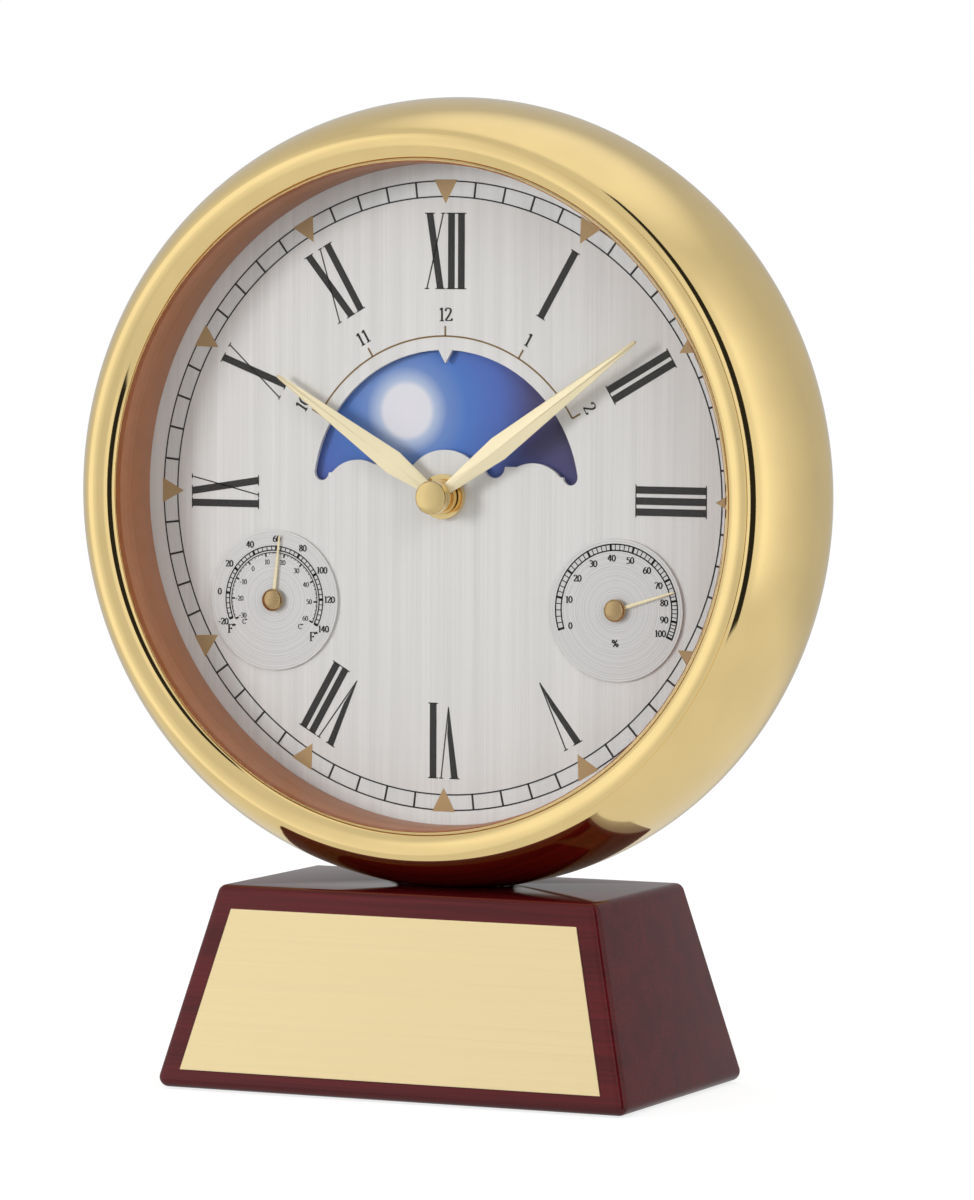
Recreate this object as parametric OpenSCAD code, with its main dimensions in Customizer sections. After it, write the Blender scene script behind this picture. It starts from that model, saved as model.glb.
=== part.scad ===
// Desk clock with a moon window, a thermometer and a hygrometer in its dial, on a sloped wooden plinth.
// Millimetres. X right, Y to the back, Z up. The origin is under the plinth, at its middle.
// Parts of the clock head are drawn in the head's own frame: x right, y up, z towards the viewer, with the
// dial's front face at z = 0 and the hands' axis at x = y = 0. Rings of the case share the case's own axis.

/* [Plinth] */
// Width of the plinth at its foot, over the rounded edges
plinth_foot_w = 109.4; // [100:0.2:130]
// Depth of the plinth at its foot
plinth_foot_d = 65.6; // [60:0.2:80]
// Width of the plinth at its top
plinth_top_w = 89.6; // [80:0.2:96]
// Depth of the plinth at its top
plinth_top_d = 49.3; // [46:0.1:56]
// Height of the plinth over the surface it stands on
plinth_h = 43.8; // [38:0.1:55]
// Radius of all the plinth's edges
plinth_round = 2.1; // [1:0.1:4]
// Thickness of the felt under the plinth
felt_t = 1.4; // [1:0.1:3]
// How far the felt stands proud of the wood
felt_proud = 0.4; // [0.2:0.1:0.8]
// Distance from the felt's edge to the foot's edge
felt_margin = 5; // [3:0.5:12]

/* [Engraving plate] */
// Thickness of the brass plate
plate_t = 0.8; // [0.5:0.1:1.5]
// How far the plate stands proud of the wood
plate_proud = 0.3; // [0.1:0.05:0.4]
// Bare wood left beside the plate
plate_side_margin = 5.2; // [3:0.1:12]
// Bare wood left above the plate
plate_top_margin = 5.0; // [3:0.1:12]
// Bare wood left below the plate
plate_foot_margin = 4.1; // [3:0.1:12]

/* [Case] */
// Widest radius of the drum
case_r = 85.1; // [82:0.1:92]
// How deep the drum sinks into the top of the plinth
case_sink = 1.0; // [0.6:0.1:1.4]
// How far the drum bulges out beyond the seam between drum and bezel
drum_bulge = 8.2; // [7.6:0.1:9]
// Angle at which the drum's rounded sides start at its front and rear edges
arc_start = 30; // [24:1:36]
// Distance from the dial back to the drum's widest place
widest_behind = 6.8; // [4:0.1:10]
// Distance from the dial back to the drum's rear edge
case_behind = 28.3; // [27:0.1:34]
// Wall thickness of the drum
case_wall = 1.6; // [1.2:0.1:2]
// Width of the lip at the drum's rear edge
back_lip_w = 5.6; // [5.2:0.1:7]
// From the corners of the well around the movement to that lip
back_lip_gap = 2.12; // [1.5:0.01:2.5]
// Thickness of the rear lip
back_lip_t = 3; // [2:0.1:4]
// Thickness of the rear cover
back_cover_t = 1.6; // [1.2:0.1:2.5]

/* [Bezel and glass] */
// Width of the drum's front edge between the seam and the bezel's skirt
seam_step = 1.6; // [1.5:0.05:1.8]
// How far the bezel's lip reaches over the edge of the glass
lip_reach = 2.3; // [2.2:0.05:2.6]
// Width of the flat lip inside the bezel's round
lip_w = 1.0; // [0.6:0.1:1.4]
// Radius of the bezel's half-round
bezel_round = 3.2; // [3:0.05:3.4]
// Distance from the dial forward to the bezel's lip
lip_ahead = 15; // [14:0.1:18]
// Depth of the lip in front of the glass
lip_depth = 3.3; // [2.5:0.1:4]
// Wall of the bezel's skirt, whose bore holds glass, spacer and dial
skirt_wall = 2.4; // [2.2:0.05:2.6]
// Thickness of the glass
glass_t = 2; // [1.5:0.1:2.5]
// Thickness of the seal between glass and bezel
seal_t = 0.3; // [0.2:0.05:0.6]
// Width of the spacer ring between glass and dial
spacer_w = 1.8; // [1.4:0.05:2]

/* [Dial] */
// Free space around the dial plate in the bezel's bore
dial_play = 0.4; // [0.3:0.05:0.6]
// Thickness of the dial plate
dial_t = 1; // [0.6:0.1:1.5]
// Outer radius of the moon window
window_r = 31.4; // [31:0.1:32]
// Radius of the half-round foot of the window at the middle
window_foot_r = 10; // [9:0.1:10.4]
// Radius of the two clouds that cover the moon at its rise and set
cloud_r = 8.2; // [8:0.05:8.4]
// Distance of each cloud's middle from the axis, sideways
cloud_x = 20.6; // [20.4:0.05:20.8]
// Distance of each cloud's middle below the axis
cloud_drop = 0.7; // [0.5:0.05:0.9]
// Depth of the notch at twelve o'clock
notch_depth = 2.85; // [2:0.05:3.5]
// Width of the notch at the window's edge
notch_w = 3.5; // [2.5:0.1:4.5]

/* [Thermometer and hygrometer] */
// Distance of each small dial's middle from the hands' axis
gauge_radius = 46.6; // [46:0.1:47.5]
// Angle of each small dial, from twelve o'clock
gauge_angle = 120; // [118:0.5:122]
// Radius of the small dials
gauge_r = 15.2; // [14:0.1:16]
// Thickness of the small dials
gauge_t = 0.6; // [0.4:0.1:0.8]
// Outer radius of the can behind each small dial
can_r = 12; // [11:0.1:12.4]
// Depth of that can
can_depth = 7.5; // [6:0.1:9]
// Wall of that can
can_wall = 0.6; // [0.4:0.1:1]
// Length of the needles from their axis
needle_len = 14.2; // [11:0.1:14.6]
// Radius of the brass cap on each needle
needle_cap_r = 2.45; // [2:0.05:3]
// Needle of the thermometer, degrees clockwise from upright
thermometer_shows = 6; // [-100:1:100]
// Needle of the hygrometer, degrees clockwise from upright
hygrometer_shows = 72.6; // [-100:1:100]

/* [Hands] */
// Length of the hour hand from the axis
hour_len = 46.2; // [40:0.1:48]
// Length of the minute hand from the axis
minute_len = 57.2; // [50:0.1:60]
// Greatest width of the hands
hand_w = 5.3; // [4:0.1:6]
// Width of the hands where they leave their collets
hand_root_w = 2.2; // [1.6:0.1:3]
// Width of the hands at their tips
hand_tip_w = 0.9; // [0.6:0.1:1.4]
// Thickness of the hands
hand_t = 0.7; // [0.5:0.05:1]
// Distance from the axis to the hour hand's widest place
hour_wide_at = 13; // [10:0.5:18]
// Distance from the axis to the minute hand's widest place
minute_wide_at = 18; // [14:0.5:24]
// Hour hand, degrees clockwise from twelve
hour_shows = 303.4; // [0:0.1:360]
// Minute hand, degrees clockwise from twelve
minute_shows = 53.8; // [0:0.1:360]
// Radius of the round nut that clamps the dial
dial_nut_r = 4.83; // [4.4:0.05:5.4]
// Thickness of that nut
dial_nut_t = 1.6; // [1.2:0.1:2]
// Radius of the cap nut on the hands
cap_r = 3.6; // [3:0.05:4]
// Height of the cap nut
cap_h = 3; // [2.4:0.1:4]

/* [Movement] */
// Width of the movement's housing
movement_w = 55.2; // [54.8:0.1:55.6]
// Depth of the movement's housing
movement_t = 18; // [17.6:0.1:20]
// Wall of the housing
movement_wall = 1.2; // [1:0.05:1.3]
// Radius of the threaded bush that holds the movement to the dial
bush_r = 3.4; // [3.2:0.05:3.6]
// Outer radius of the hour hand's tube
hour_tube_r = 2.1; // [2.05:0.01:2.2]
// Radius of the minute hand's arbor
minute_tube_r = 1.48; // [1.4:0.01:1.5]
// Radius of the cell
cell_r = 7.25; // [7:0.05:7.3]
// Length of the cell with its tip
cell_len = 50.5; // [49:0.1:50.8]
// How far the cell lies below the hands' axis
cell_drop = 19.6; // [19.5:0.05:19.7]
// Radius of the two setting knobs
knob_r = 4.6; // [4:0.1:5]
// Height of the two setting knobs
knob_h = 4; // [3:0.1:5]

/* [Moon] */
// Radius of the moon disc
moon_r = 33; // [32.2:0.1:33.4]
// Thickness of the moon disc
moon_t = 0.8; // [0.6:0.05:1]
// Thickness of the moon's toothed ring
moon_gear_t = 1; // [0.8:0.05:1.4]
// Free space in front of the disc and behind its toothed ring
moon_gap = 0.6; // [0.4:0.05:1]
// Distance from the hands' axis up to the moon train's arbor
moon_arbor_up = 27; // [26.4:0.1:27.4]

/* [Gear teeth] */
// Teeth of the cannon pinion
cannon_teeth = 12; // [12]
// Teeth of the minute wheel
minute_wheel_teeth = 36; // [36]
// Teeth of the minute wheel's pinion
minute_pinion_teeth = 12; // [12]
// Teeth of the hour wheel
hour_wheel_teeth = 48; // [48]
// Teeth of the hour wheel's moon drive
moon_drive_teeth = 12; // [12]
// Teeth of the moon transfer wheel
moon_transfer_teeth = 108; // [108]
// Teeth of the moon arbor's pinion
moon_pinion_teeth = 9; // [9]
// Teeth of the ring behind the moon disc
moon_teeth = 118; // [118]
// Teeth of the centre wheel
centre_teeth = 75; // [75]
// Teeth of the third wheel's pinion
third_pinion_teeth = 10; // [10]
// Teeth of the third wheel
third_teeth = 72; // [72]
// Teeth of the second wheel's pinion
second_pinion_teeth = 9; // [9]
// Teeth of the second wheel
second_teeth = 60; // [60]
// Teeth of the step wheel's pinion
step_pinion_teeth = 10; // [10]
// Teeth of the step wheel
step_teeth = 60; // [60]
// Teeth of the rotor's pinion
rotor_teeth = 12; // [12]
// Distance between the hands' axis and the minute wheel
motion_distance = 9.6; // [9.6:0.05:9.8]
// Module of the centre, third and second wheels
train_module = 0.225; // [0.22:0.005:0.225]
// Module of the step wheel and the rotor's pinion
step_module = 0.15; // [0.145:0.005:0.15]
// Share of half the pitch that a tooth fills
tooth_fill = 0.86; // [0.8:0.01:0.9]

/* [Fasteners] */
// Radius of the thread of the two screws that hold the drum to the plinth
base_screw_r = 2; // [1.5:0.1:2.5]
// Distance between those two screws
base_screw_gap = 18; // [14:0.5:24]
// Depth of the holes that sink their heads into the plinth
base_screw_sink = 24; // [18:0.5:28]
// Thickness of the plate inside the drum that they screw into
nut_plate_t = 5; // [4:0.1:7]
// Distance from those screws to that plate's edges
nut_plate_margin = 7; // [6:0.1:8]
// Radius of the small screws of the rear cover and the dial carrier
small_screw_r = 0.8; // [0.7:0.05:0.85]

/* [Clearances] */
// Between parts that are pushed into each other
fit_gap = 0.1; // [0.05:0.01:0.15]
// Between a turning shaft and its hole
run_gap = 0.05; // [0.03:0.01:0.08]

/* [Hidden] */
$fn = 96;
pressure_angle = 20;
head_frame_turn = 90;

// Depths in the head's frame
dial_back = -dial_t;
moon_front = dial_back - moon_gap;
moon_back = moon_front - moon_t;
moon_gear_back = moon_back - moon_gear_t;
movement_front = moon_gear_back - moon_gap;
movement_inner = movement_front - movement_wall;
movement_back = movement_front - movement_t;
movement_inner_back = movement_back + movement_wall;
shell_split = movement_front - 10;
bush_flange_t = 0.7;
bush_flange_r = 5.4;
wheel_t = 0.8;
moon_drive_z = movement_inner - bush_flange_t - 0.4 - wheel_t;
hour_wheel_z = moon_drive_z - 1.2;
cannon_z = hour_wheel_z - 1.6;
centre_z = cannon_z - 1.6;
third_z = centre_z - 1.8;
second_z = third_z - 1.6;
step_z = third_z + wheel_t + 0.4;
step_t = 0.7;
rotor_bridge_z = centre_z + 1.1;
rotor_bridge_t = 0.8;
slip_gap = 0.03;
pivot_depth = 0.8;
bridge_t = 1;
bridge_z = second_z - 1.8;
glass_front = lip_ahead - lip_depth - seal_t;
glass_back = glass_front - glass_t;
collet_t = 1.3;
hour_z = dial_nut_t + 0.5;
minute_z = hour_z + collet_t + 0.3;
cap_z = minute_z + collet_t;
hour_bore_r = minute_tube_r + run_gap;
bush_bore_r = hour_tube_r + run_gap;

// Bezel and drum
base_hole_r = base_screw_r + 0.25;
seam_r = case_r - drum_bulge;
seat_r = seam_r - seam_step - skirt_wall;
lip_r = seat_r - lip_reach;
spacer_r = seat_r - fit_gap - spacer_w;
dial_r = seat_r - dial_play;
bezel_round_mid = lip_r + lip_w + bezel_round;
seam_ahead = lip_ahead + sqrt(pow(bezel_round, 2) - pow(seam_r - bezel_round_mid, 2));
skirt_r = seat_r + skirt_wall;
flange_r = skirt_r + fit_gap;
flange_t = case_wall + 0.8;
front_reach = seam_ahead + widest_behind;
back_reach = case_behind - widest_behind;
clamp_in_r = flange_r + fit_gap;
clamp_out_r = seam_r - 0.2;
clamp_foot_r = seat_r - 2.4;
clamp_t = 1.2;
clamp_half_angle = 8;
carrier_bore_r = clamp_foot_r - 1.5;
carrier_t = 2;
clamp_screw_r_at = (seat_r + skirt_r) / 2;
clamp_count = 6;
cover_screw_count = 4;

// Heights in the object's frame
case_z = plinth_h - case_sink + case_r;
dial_drop = seat_r - dial_r - 0.02;
dial_z = case_z - dial_drop;
dial_y = 2.5 - widest_behind;

// Gear places in the head's frame
hour_module = 2 * motion_distance / (minute_pinion_teeth + hour_wheel_teeth);
cannon_module = 2 * motion_distance / (cannon_teeth + minute_wheel_teeth);
moon_drive_module = 2 * moon_arbor_up / (moon_drive_teeth + moon_transfer_teeth);
moon_module = 2 * moon_arbor_up / (moon_pinion_teeth + moon_teeth);
addendum = 0.85;
dedendum = 1.15;
transfer_tip_r = tip_r(moon_transfer_teeth, moon_drive_module);
motion_angle = 186;
third_angle = 0;
second_angle = 45;
step_angle = 135;
rotor_angle = 180;
third_distance = train_module * (centre_teeth + third_pinion_teeth) / 2;
second_distance = train_module * (third_teeth + second_pinion_teeth) / 2;
motion_at = motion_distance * [cos(motion_angle), sin(motion_angle)];
third_at = third_distance * [cos(third_angle), sin(third_angle)];
second_at = third_at + second_distance * [cos(second_angle), sin(second_angle)];
step_distance = train_module * (second_teeth + step_pinion_teeth) / 2;
step_at = second_at + step_distance * [cos(step_angle), sin(step_angle)];
rotor_distance = step_module * (step_teeth + rotor_teeth) / 2;
rotor_at = step_at + rotor_distance * [cos(rotor_angle), sin(rotor_angle)];
moon_at = [0, moon_arbor_up];
arbor_r = 0.6;
pivot_r = 0.4;
knob_arbor_r = 0.6;
moon_arbor_r = 0.9;
rotor_r = 2.2;
stator_bore_r = rotor_r + 0.4;
centre_pivot_r = 0.6;

// Movement
movement_foot = -(cell_drop + cell_r + 0.25 + movement_wall);
movement_head = moon_arbor_up + transfer_tip_r + 0.6 + movement_wall;
movement_h = movement_head - movement_foot;
movement_mid = (movement_head + movement_foot) / 2;
cell_z = movement_inner_back + cell_r + 0.2;
bay_top = -cell_drop + cell_r + 0.25;
bay_wall = 0.9;
bay_half_w = movement_w / 2 - movement_wall;
contact_t = 0.5;
well_gap = 0.6;
well_wall = 1.2;
pillar_r = 1.9;

// The rear opening lets the well around the movement through
well_side = movement_w / 2 + well_gap + well_wall;
well_head = movement_head + well_gap + well_wall - dial_drop;
back_lip_r = norm([well_side, well_head]) + back_lip_gap;
case_back_r = back_lip_r + back_lip_w;
cover_r = case_back_r - 0.6;
cover_screw_r_at = (back_lip_r + case_back_r) / 2;

// Radius of a gear at its pitch line, its tips and its roots
function pitch_r(teeth, mod) = teeth * mod / 2;
function tip_r(teeth, mod) = pitch_r(teeth, mod) + addendum * mod;
function root_r(teeth, mod) = pitch_r(teeth, mod) - dedendum * mod;
function involute(a) = (tan(a) - a * PI / 180) * 180 / PI;
// Half the angle that a tooth fills at radius r: an involute over the base circle, radial below it
function tooth_half(r, teeth, mod) =
    let (base = pitch_r(teeth, mod) * cos(pressure_angle), a = r > base ? acos(base / r) : 0)
    90 / teeth * tooth_fill + involute(pressure_angle) - involute(a);
function polar(r, a) = [r * cos(a), r * sin(a)];
function tooth_radii(teeth, mod) = let (p = pitch_r(teeth, mod))
    [p - dedendum * mod, p - mod / 2, p, p + addendum * mod];
function gear_outline(teeth, mod, phase) = let (radii = tooth_radii(teeth, mod), last = len(radii) - 1)
    [for (i = [0 : teeth - 1]) let (mid = phase + 360 * i / teeth)
        each concat([for (k = [0 : last]) polar(radii[k], mid - tooth_half(radii[k], teeth, mod))],
            [for (k = [last : -1 : 0]) polar(radii[k], mid + tooth_half(radii[k], teeth, mod))])];
// Phase of a second gear in direction a from the first, so that its gap meets the first one's tooth
function mesh_phase(a, teeth_1, phase_1, teeth_2) =
    a + 180 - (0.5 - (a - phase_1) * teeth_1 / 360) * 360 / teeth_2;

// Phases: each pair is in mesh at rest
cannon_phase = 0;
minute_wheel_phase = mesh_phase(motion_angle, cannon_teeth, cannon_phase, minute_wheel_teeth);
minute_pinion_phase = 0;
hour_wheel_phase = mesh_phase(motion_angle + 180, minute_pinion_teeth, minute_pinion_phase, hour_wheel_teeth);
moon_drive_phase = 0;
transfer_phase = mesh_phase(90, moon_drive_teeth, moon_drive_phase, moon_transfer_teeth);
moon_pinion_phase = 0;
moon_ring_phase = mesh_phase(270, moon_pinion_teeth, moon_pinion_phase, moon_teeth);
centre_phase = 0;
third_pinion_phase = mesh_phase(third_angle, centre_teeth, centre_phase, third_pinion_teeth);
third_phase = 0;
second_pinion_phase = mesh_phase(second_angle, third_teeth, third_phase, second_pinion_teeth);
second_phase = 0;
step_pinion_phase = mesh_phase(step_angle, second_teeth, second_phase, step_pinion_teeth);
step_phase = 0;
rotor_phase = mesh_phase(rotor_angle, step_teeth, step_phase, rotor_teeth);

// The drum's section: an arc of an ellipse in front of its widest place and one behind it, both from
// arc_start to 90 degrees, with a straight band between them that the screws from the plinth pass through
band_half = base_hole_r + 0.2;
arc_steps = 16;
function half_r(rise, off) = rise / (1 - sin(arc_start)) - off;
function half_z(reach, off) = reach / cos(arc_start) - off;
function arc_point(i, reach, rise, side, off) = let (a = arc_start + (90 - arc_start) * i / arc_steps)
    [case_r - half_r(rise, 0) + half_r(rise, off) * sin(a), side * half_z(reach, off) * cos(a) - widest_behind];
function drum_line(off) = concat(
    [for (i = [0 : arc_steps - 2]) arc_point(i, front_reach, case_r - seam_r, 1, off)],
    [[case_r - off, band_half - widest_behind], [case_r - off, -band_half - widest_behind]],
    [for (i = [arc_steps - 2 : -1 : 0]) arc_point(i, back_reach, case_r - case_back_r, -1, off)]);
// Radius of the line off millimetres inside the drum at height z, in front of the widest place
function front_r(z, off) = let (c = (z + widest_behind) / half_z(front_reach, off))
    case_r - half_r(case_r - seam_r, 0) + half_r(case_r - seam_r, off) * sqrt(1 - c * c);
function reversed(list) = [for (i = [len(list) - 1 : -1 : 0]) list[i]];

// The plinth's slopes
plinth_foot_z = felt_proud;
ball_rise = plinth_h - plinth_foot_z - 2 * plinth_round;
side_ball_lean = (plinth_foot_w - plinth_top_w) / 2;
front_ball_lean = (plinth_foot_d - plinth_top_d) / 2;
front_angle = atan(front_ball_lean / ball_rise);
ball_top_w = plinth_top_w / 2 - plinth_round;
ball_top_d = plinth_top_d / 2 - plinth_round;
ball_foot_w = plinth_foot_w / 2 - plinth_round;
ball_foot_d = plinth_foot_d / 2 - plinth_round;
ball_top_z = plinth_h - plinth_round;
ball_foot_z = plinth_foot_z + plinth_round;

// Half the plinth's width and the front face's place at a height
function plinth_half_w(z) = ball_top_w + side_ball_lean * (ball_top_z - z) / ball_rise
    + plinth_round / cos(atan(side_ball_lean / ball_rise));
function plinth_front_y(z) = -(ball_top_d + front_ball_lean * (ball_top_z - z) / ball_rise
    + plinth_round / cos(front_angle));

plate_top_z = plinth_h - plate_top_margin;
plate_foot_z = plinth_foot_z + plate_foot_margin;

// Colours
gold = "goldenrod";
pale_gold = "palegoldenrod";
steel = "silver";

// Frames
module on_case() {
    translate([0, dial_y, case_z]) rotate([head_frame_turn, 0, 0]) children();
}

module on_dial() {
    translate([0, dial_y, dial_z]) rotate([head_frame_turn, 0, 0]) children();
}

module ring(outer, inner, z_low, z_high) {
    translate([0, 0, z_low]) difference() {
        cylinder(r = outer, h = z_high - z_low);
        translate([0, 0, -1]) cylinder(r = inner, h = z_high - z_low + 2);
    }
}

module disc(r, z_low, z_high) {
    translate([0, 0, z_low]) cylinder(r = r, h = z_high - z_low);
}

module gear(teeth, mod, phase, z_low, thick) {
    translate([0, 0, z_low]) linear_extrude(thick) polygon(gear_outline(teeth, mod, phase));
}

module plate(w, h, z_low, z_high) {
    translate([-w / 2, -h / 2, z_low]) cube([w, h, z_high - z_low]);
}

// Plinth

module plinth_body() {
    hull() for (sx = [-1, 1], sy = [-1, 1]) {
        translate([sx * ball_top_w, sy * ball_top_d, ball_top_z]) sphere(r = plinth_round, $fn = 32);
        translate([sx * ball_foot_w, sy * ball_foot_d, ball_foot_z]) sphere(r = plinth_round, $fn = 32);
    }
}

module felt_shape(grow) {
    w = plinth_foot_w - 2 * felt_margin + 2 * grow;
    d = plinth_foot_d - 2 * felt_margin + 2 * grow;
    corner = 4;
    for (sx = [-1, 1], sy = [-1, 1])
        translate([sx * (w / 2 - corner), sy * (d / 2 - corner)]) circle(r = corner);
    square([w, d - 2 * corner], center = true);
    square([w - 2 * corner, d], center = true);
}

module at_base_screws() {
    for (side = [-1, 1]) translate([side * base_screw_gap / 2, base_screw_y, 0]) children();
}

base_screw_y = dial_y + widest_behind;
base_head_r = base_screw_r * 1.9;
base_head_t = base_screw_r * 1.1;
base_washer_r = base_head_r + 0.8;
base_washer_t = 1;
washer_z = base_screw_sink;
nut_plate_foot = case_z - case_r + case_wall;
base_screw_top = nut_plate_foot + nut_plate_t;

// A solid with the drum's outline, off millimetres inside it, cut short in front and behind
module drum_solid(off) {
    band = 20;
    on_case() rotate_extrude($fn = 192) polygon(concat([[0, band - widest_behind]],
        [for (p = drum_line(off)) if (abs(p[1] + widest_behind) < band) p], [[0, -band - widest_behind]]));
}

module plinth_block() {
    color("maroon") difference() {
        plinth_body();
        on_front_slope() linear_extrude(plate_t + 1) offset(delta = fit_gap) plate_outline();
        translate([0, 0, -1]) linear_extrude(1 + felt_t) felt_shape(fit_gap);
        drum_solid(-fit_gap / 2);
        at_base_screws() {
            translate([0, 0, -1]) cylinder(r = base_washer_r + 0.4, h = washer_z + 1);
            cylinder(r = base_hole_r, h = plinth_h + 1);
        }
    }
}

module felt_pad() {
    color("darkgreen") difference() {
        linear_extrude(felt_t) felt_shape(0);
        at_base_screws() translate([0, 0, -1]) cylinder(r = base_washer_r + 0.8, h = felt_t + 2);
    }
}

// The floor of the shallow pocket in the front slope, and the outline of the plate that is let into it
module on_front_slope() {
    translate([0, plinth_front_y(plate_foot_z), plate_foot_z]) rotate([90 - front_angle, 0, 0])
        translate([0, 0, plate_proud - plate_t]) children();
}

module plate_outline() {
    rise = (plate_top_z - plate_foot_z) / cos(front_angle);
    top = plinth_half_w(plate_top_z) - plate_side_margin;
    foot = plinth_half_w(plate_foot_z) - plate_side_margin;
    polygon([[-foot, 0], [foot, 0], [top, rise], [-top, rise]]);
}

module engraving_plate() {
    color(pale_gold) on_front_slope() linear_extrude(plate_t) plate_outline();
}

module base_washers() {
    color(steel) at_base_screws() ring(base_washer_r, base_hole_r, washer_z - base_washer_t, washer_z);
}

module base_screws() {
    color(steel) at_base_screws() {
        disc(base_screw_r, washer_z - base_washer_t, base_screw_top);
        difference() {
            disc(base_head_r, washer_z - base_washer_t - base_head_t, washer_z - base_washer_t);
            cube([base_head_r * 1.3, 1, 2 * (washer_z - base_washer_t - base_head_t) + 1.2], center = true);
            cube([1, base_head_r * 1.3, 2 * (washer_z - base_washer_t - base_head_t) + 1.2], center = true);
        }
    }
}

// The plate is as long as its screws are apart and rests on the drum's inside
module nut_plate() {
    w = base_screw_gap + 2 * nut_plate_margin;
    d = 2 * nut_plate_margin;
    color(steel) difference() {
        translate([-w / 2, base_screw_y - d / 2, nut_plate_foot - 0.5]) cube([w, d, nut_plate_t + 3]);
        translate([-w, base_screw_y - d, base_screw_top]) cube([2 * w, 2 * d, nut_plate_t + 5]);
        difference() {
            translate([-w, base_screw_y - d, nut_plate_foot - 5]) cube([2 * w, 2 * d, nut_plate_t + 9]);
            drum_solid(case_wall + 0.02);
        }
        at_base_screws() translate([0, 0, nut_plate_foot - 2]) cylinder(r = base_screw_r + 0.02, h = 30);
    }
}

// Case

module case_shell() {
    color(gold) difference() {
        on_case() rotate_extrude($fn = 192) polygon(concat(
            [[flange_r, seam_ahead]], drum_line(0), [[back_lip_r, -case_behind]],
            [[back_lip_r, -case_behind + back_lip_t]],
            [for (p = reversed(drum_line(case_wall)))
                if (p[1] > -case_behind + back_lip_t && p[1] < seam_ahead - flange_t - 0.2) p],
            [[front_r(seam_ahead - flange_t, case_wall), seam_ahead - flange_t],
            [flange_r, seam_ahead - flange_t]]));
        at_base_screws() translate([0, 0, nut_plate_foot - 2 * case_wall])
            cylinder(r = base_hole_r, h = 3 * case_wall + nut_plate_t);
        on_case() at_cover_screws() disc(small_screw_r + 0.02, -case_behind - 1, -case_behind + back_lip_t + 1);
    }
}

module at_cover_screws() {
    for (i = [0 : cover_screw_count - 1]) rotate([0, 0, 45 + 360 * i / cover_screw_count])
        translate([cover_screw_r_at, 0, 0]) children();
}

module front_bezel() {
    arc_end = asin((seam_ahead - lip_ahead) / bezel_round);
    round_line = [for (i = [0 : 24]) let (a = 180 + (arc_end - 180) * i / 24)
        [bezel_round_mid + bezel_round * cos(a), lip_ahead + bezel_round * sin(a)]];
    color(gold) on_case() difference() {
        rotate_extrude($fn = 192) polygon(concat([[lip_r, lip_ahead]], round_line,
            [[skirt_r, seam_ahead], [skirt_r, dial_back], [seat_r, dial_back],
            [seat_r, glass_front + seal_t], [lip_r, glass_front + seal_t]]));
        at_clamps() disc(small_screw_r, dial_back - 1, dial_back + 5);
    }
}

module glass_seal() {
    color("dimgray") on_case() ring(seat_r - fit_gap, lip_r + 0.3, glass_front, glass_front + seal_t);
}

module glass_lens() {
    color("lightblue", 0.3) on_case() disc(seat_r - fit_gap, glass_back, glass_front);
}

module spacer_ring() {
    color("sienna") on_case() ring(seat_r - fit_gap, spacer_r, 0, glass_back);
}

// The ring behind the dial passes through the drum's front; the clamps are fitted to it from inside the drum
module dial_carrier() {
    color("white") on_case() difference() {
        ring(skirt_r, carrier_bore_r, dial_back - carrier_t, dial_back);
        at_clamps() disc(small_screw_r + fit_gap, dial_back - carrier_t - 1, dial_back + 1);
    }
}

module at_clamps() {
    for (i = [0 : clamp_count - 1]) rotate([0, 0, 360 * (i + 0.5) / clamp_count])
        translate([clamp_screw_r_at, 0, 0]) children();
}

// Each clamp hooks behind the drum's front flange and pulls the bezel back onto it
module case_clamps() {
    floor_z = dial_back - carrier_t;
    color(steel) on_case() difference() {
        for (i = [0 : clamp_count - 1])
            rotate([0, 0, 360 * (i + 0.5) / clamp_count - clamp_half_angle])
                rotate_extrude(angle = 2 * clamp_half_angle) polygon([[clamp_foot_r, floor_z - clamp_t],
                    [clamp_out_r, floor_z - clamp_t], [clamp_out_r, seam_ahead - flange_t],
                    [clamp_in_r, seam_ahead - flange_t], [clamp_in_r, floor_z], [clamp_foot_r, floor_z]]);
        at_clamps() disc(small_screw_r + fit_gap, floor_z - clamp_t - 1, floor_z + 1);
    }
}

module small_screw(tip, head_face) {
    disc(small_screw_r, head_face, tip);
    difference() {
        disc(small_screw_r * 1.9, head_face - small_screw_r * 1.1, head_face);
        translate([0, 0, head_face - small_screw_r * 1.1])
            cube([small_screw_r * 2.6, 0.5, 1], center = true);
    }
}

module clamp_screws() {
    color(steel) on_case() at_clamps() small_screw(dial_back + 4.5, dial_back - carrier_t - clamp_t);
}

// Rear cover with a well around the back of the movement
module back_cover() {
    well_w = movement_w + 2 * well_gap;
    well_h = movement_h + 2 * well_gap;
    color("darkslategray") difference() {
        union() {
            on_case() disc(cover_r, -case_behind - back_cover_t, -case_behind);
            on_dial() translate([0, movement_mid, 0])
                plate(well_w + 2 * well_wall, well_h + 2 * well_wall, -case_behind, movement_back + 1);
        }
        on_dial() translate([0, movement_mid, 0])
            plate(well_w, well_h, -case_behind - back_cover_t - 1, movement_back + 2);
        on_case() at_cover_screws()
            disc(small_screw_r + fit_gap, -case_behind - back_cover_t - 1, -case_behind + 1);
    }
}

module back_cover_screws() {
    color(steel) on_case() at_cover_screws()
        small_screw(-case_behind + back_lip_t - 0.5, -case_behind - back_cover_t);
}

// Dial

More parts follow.
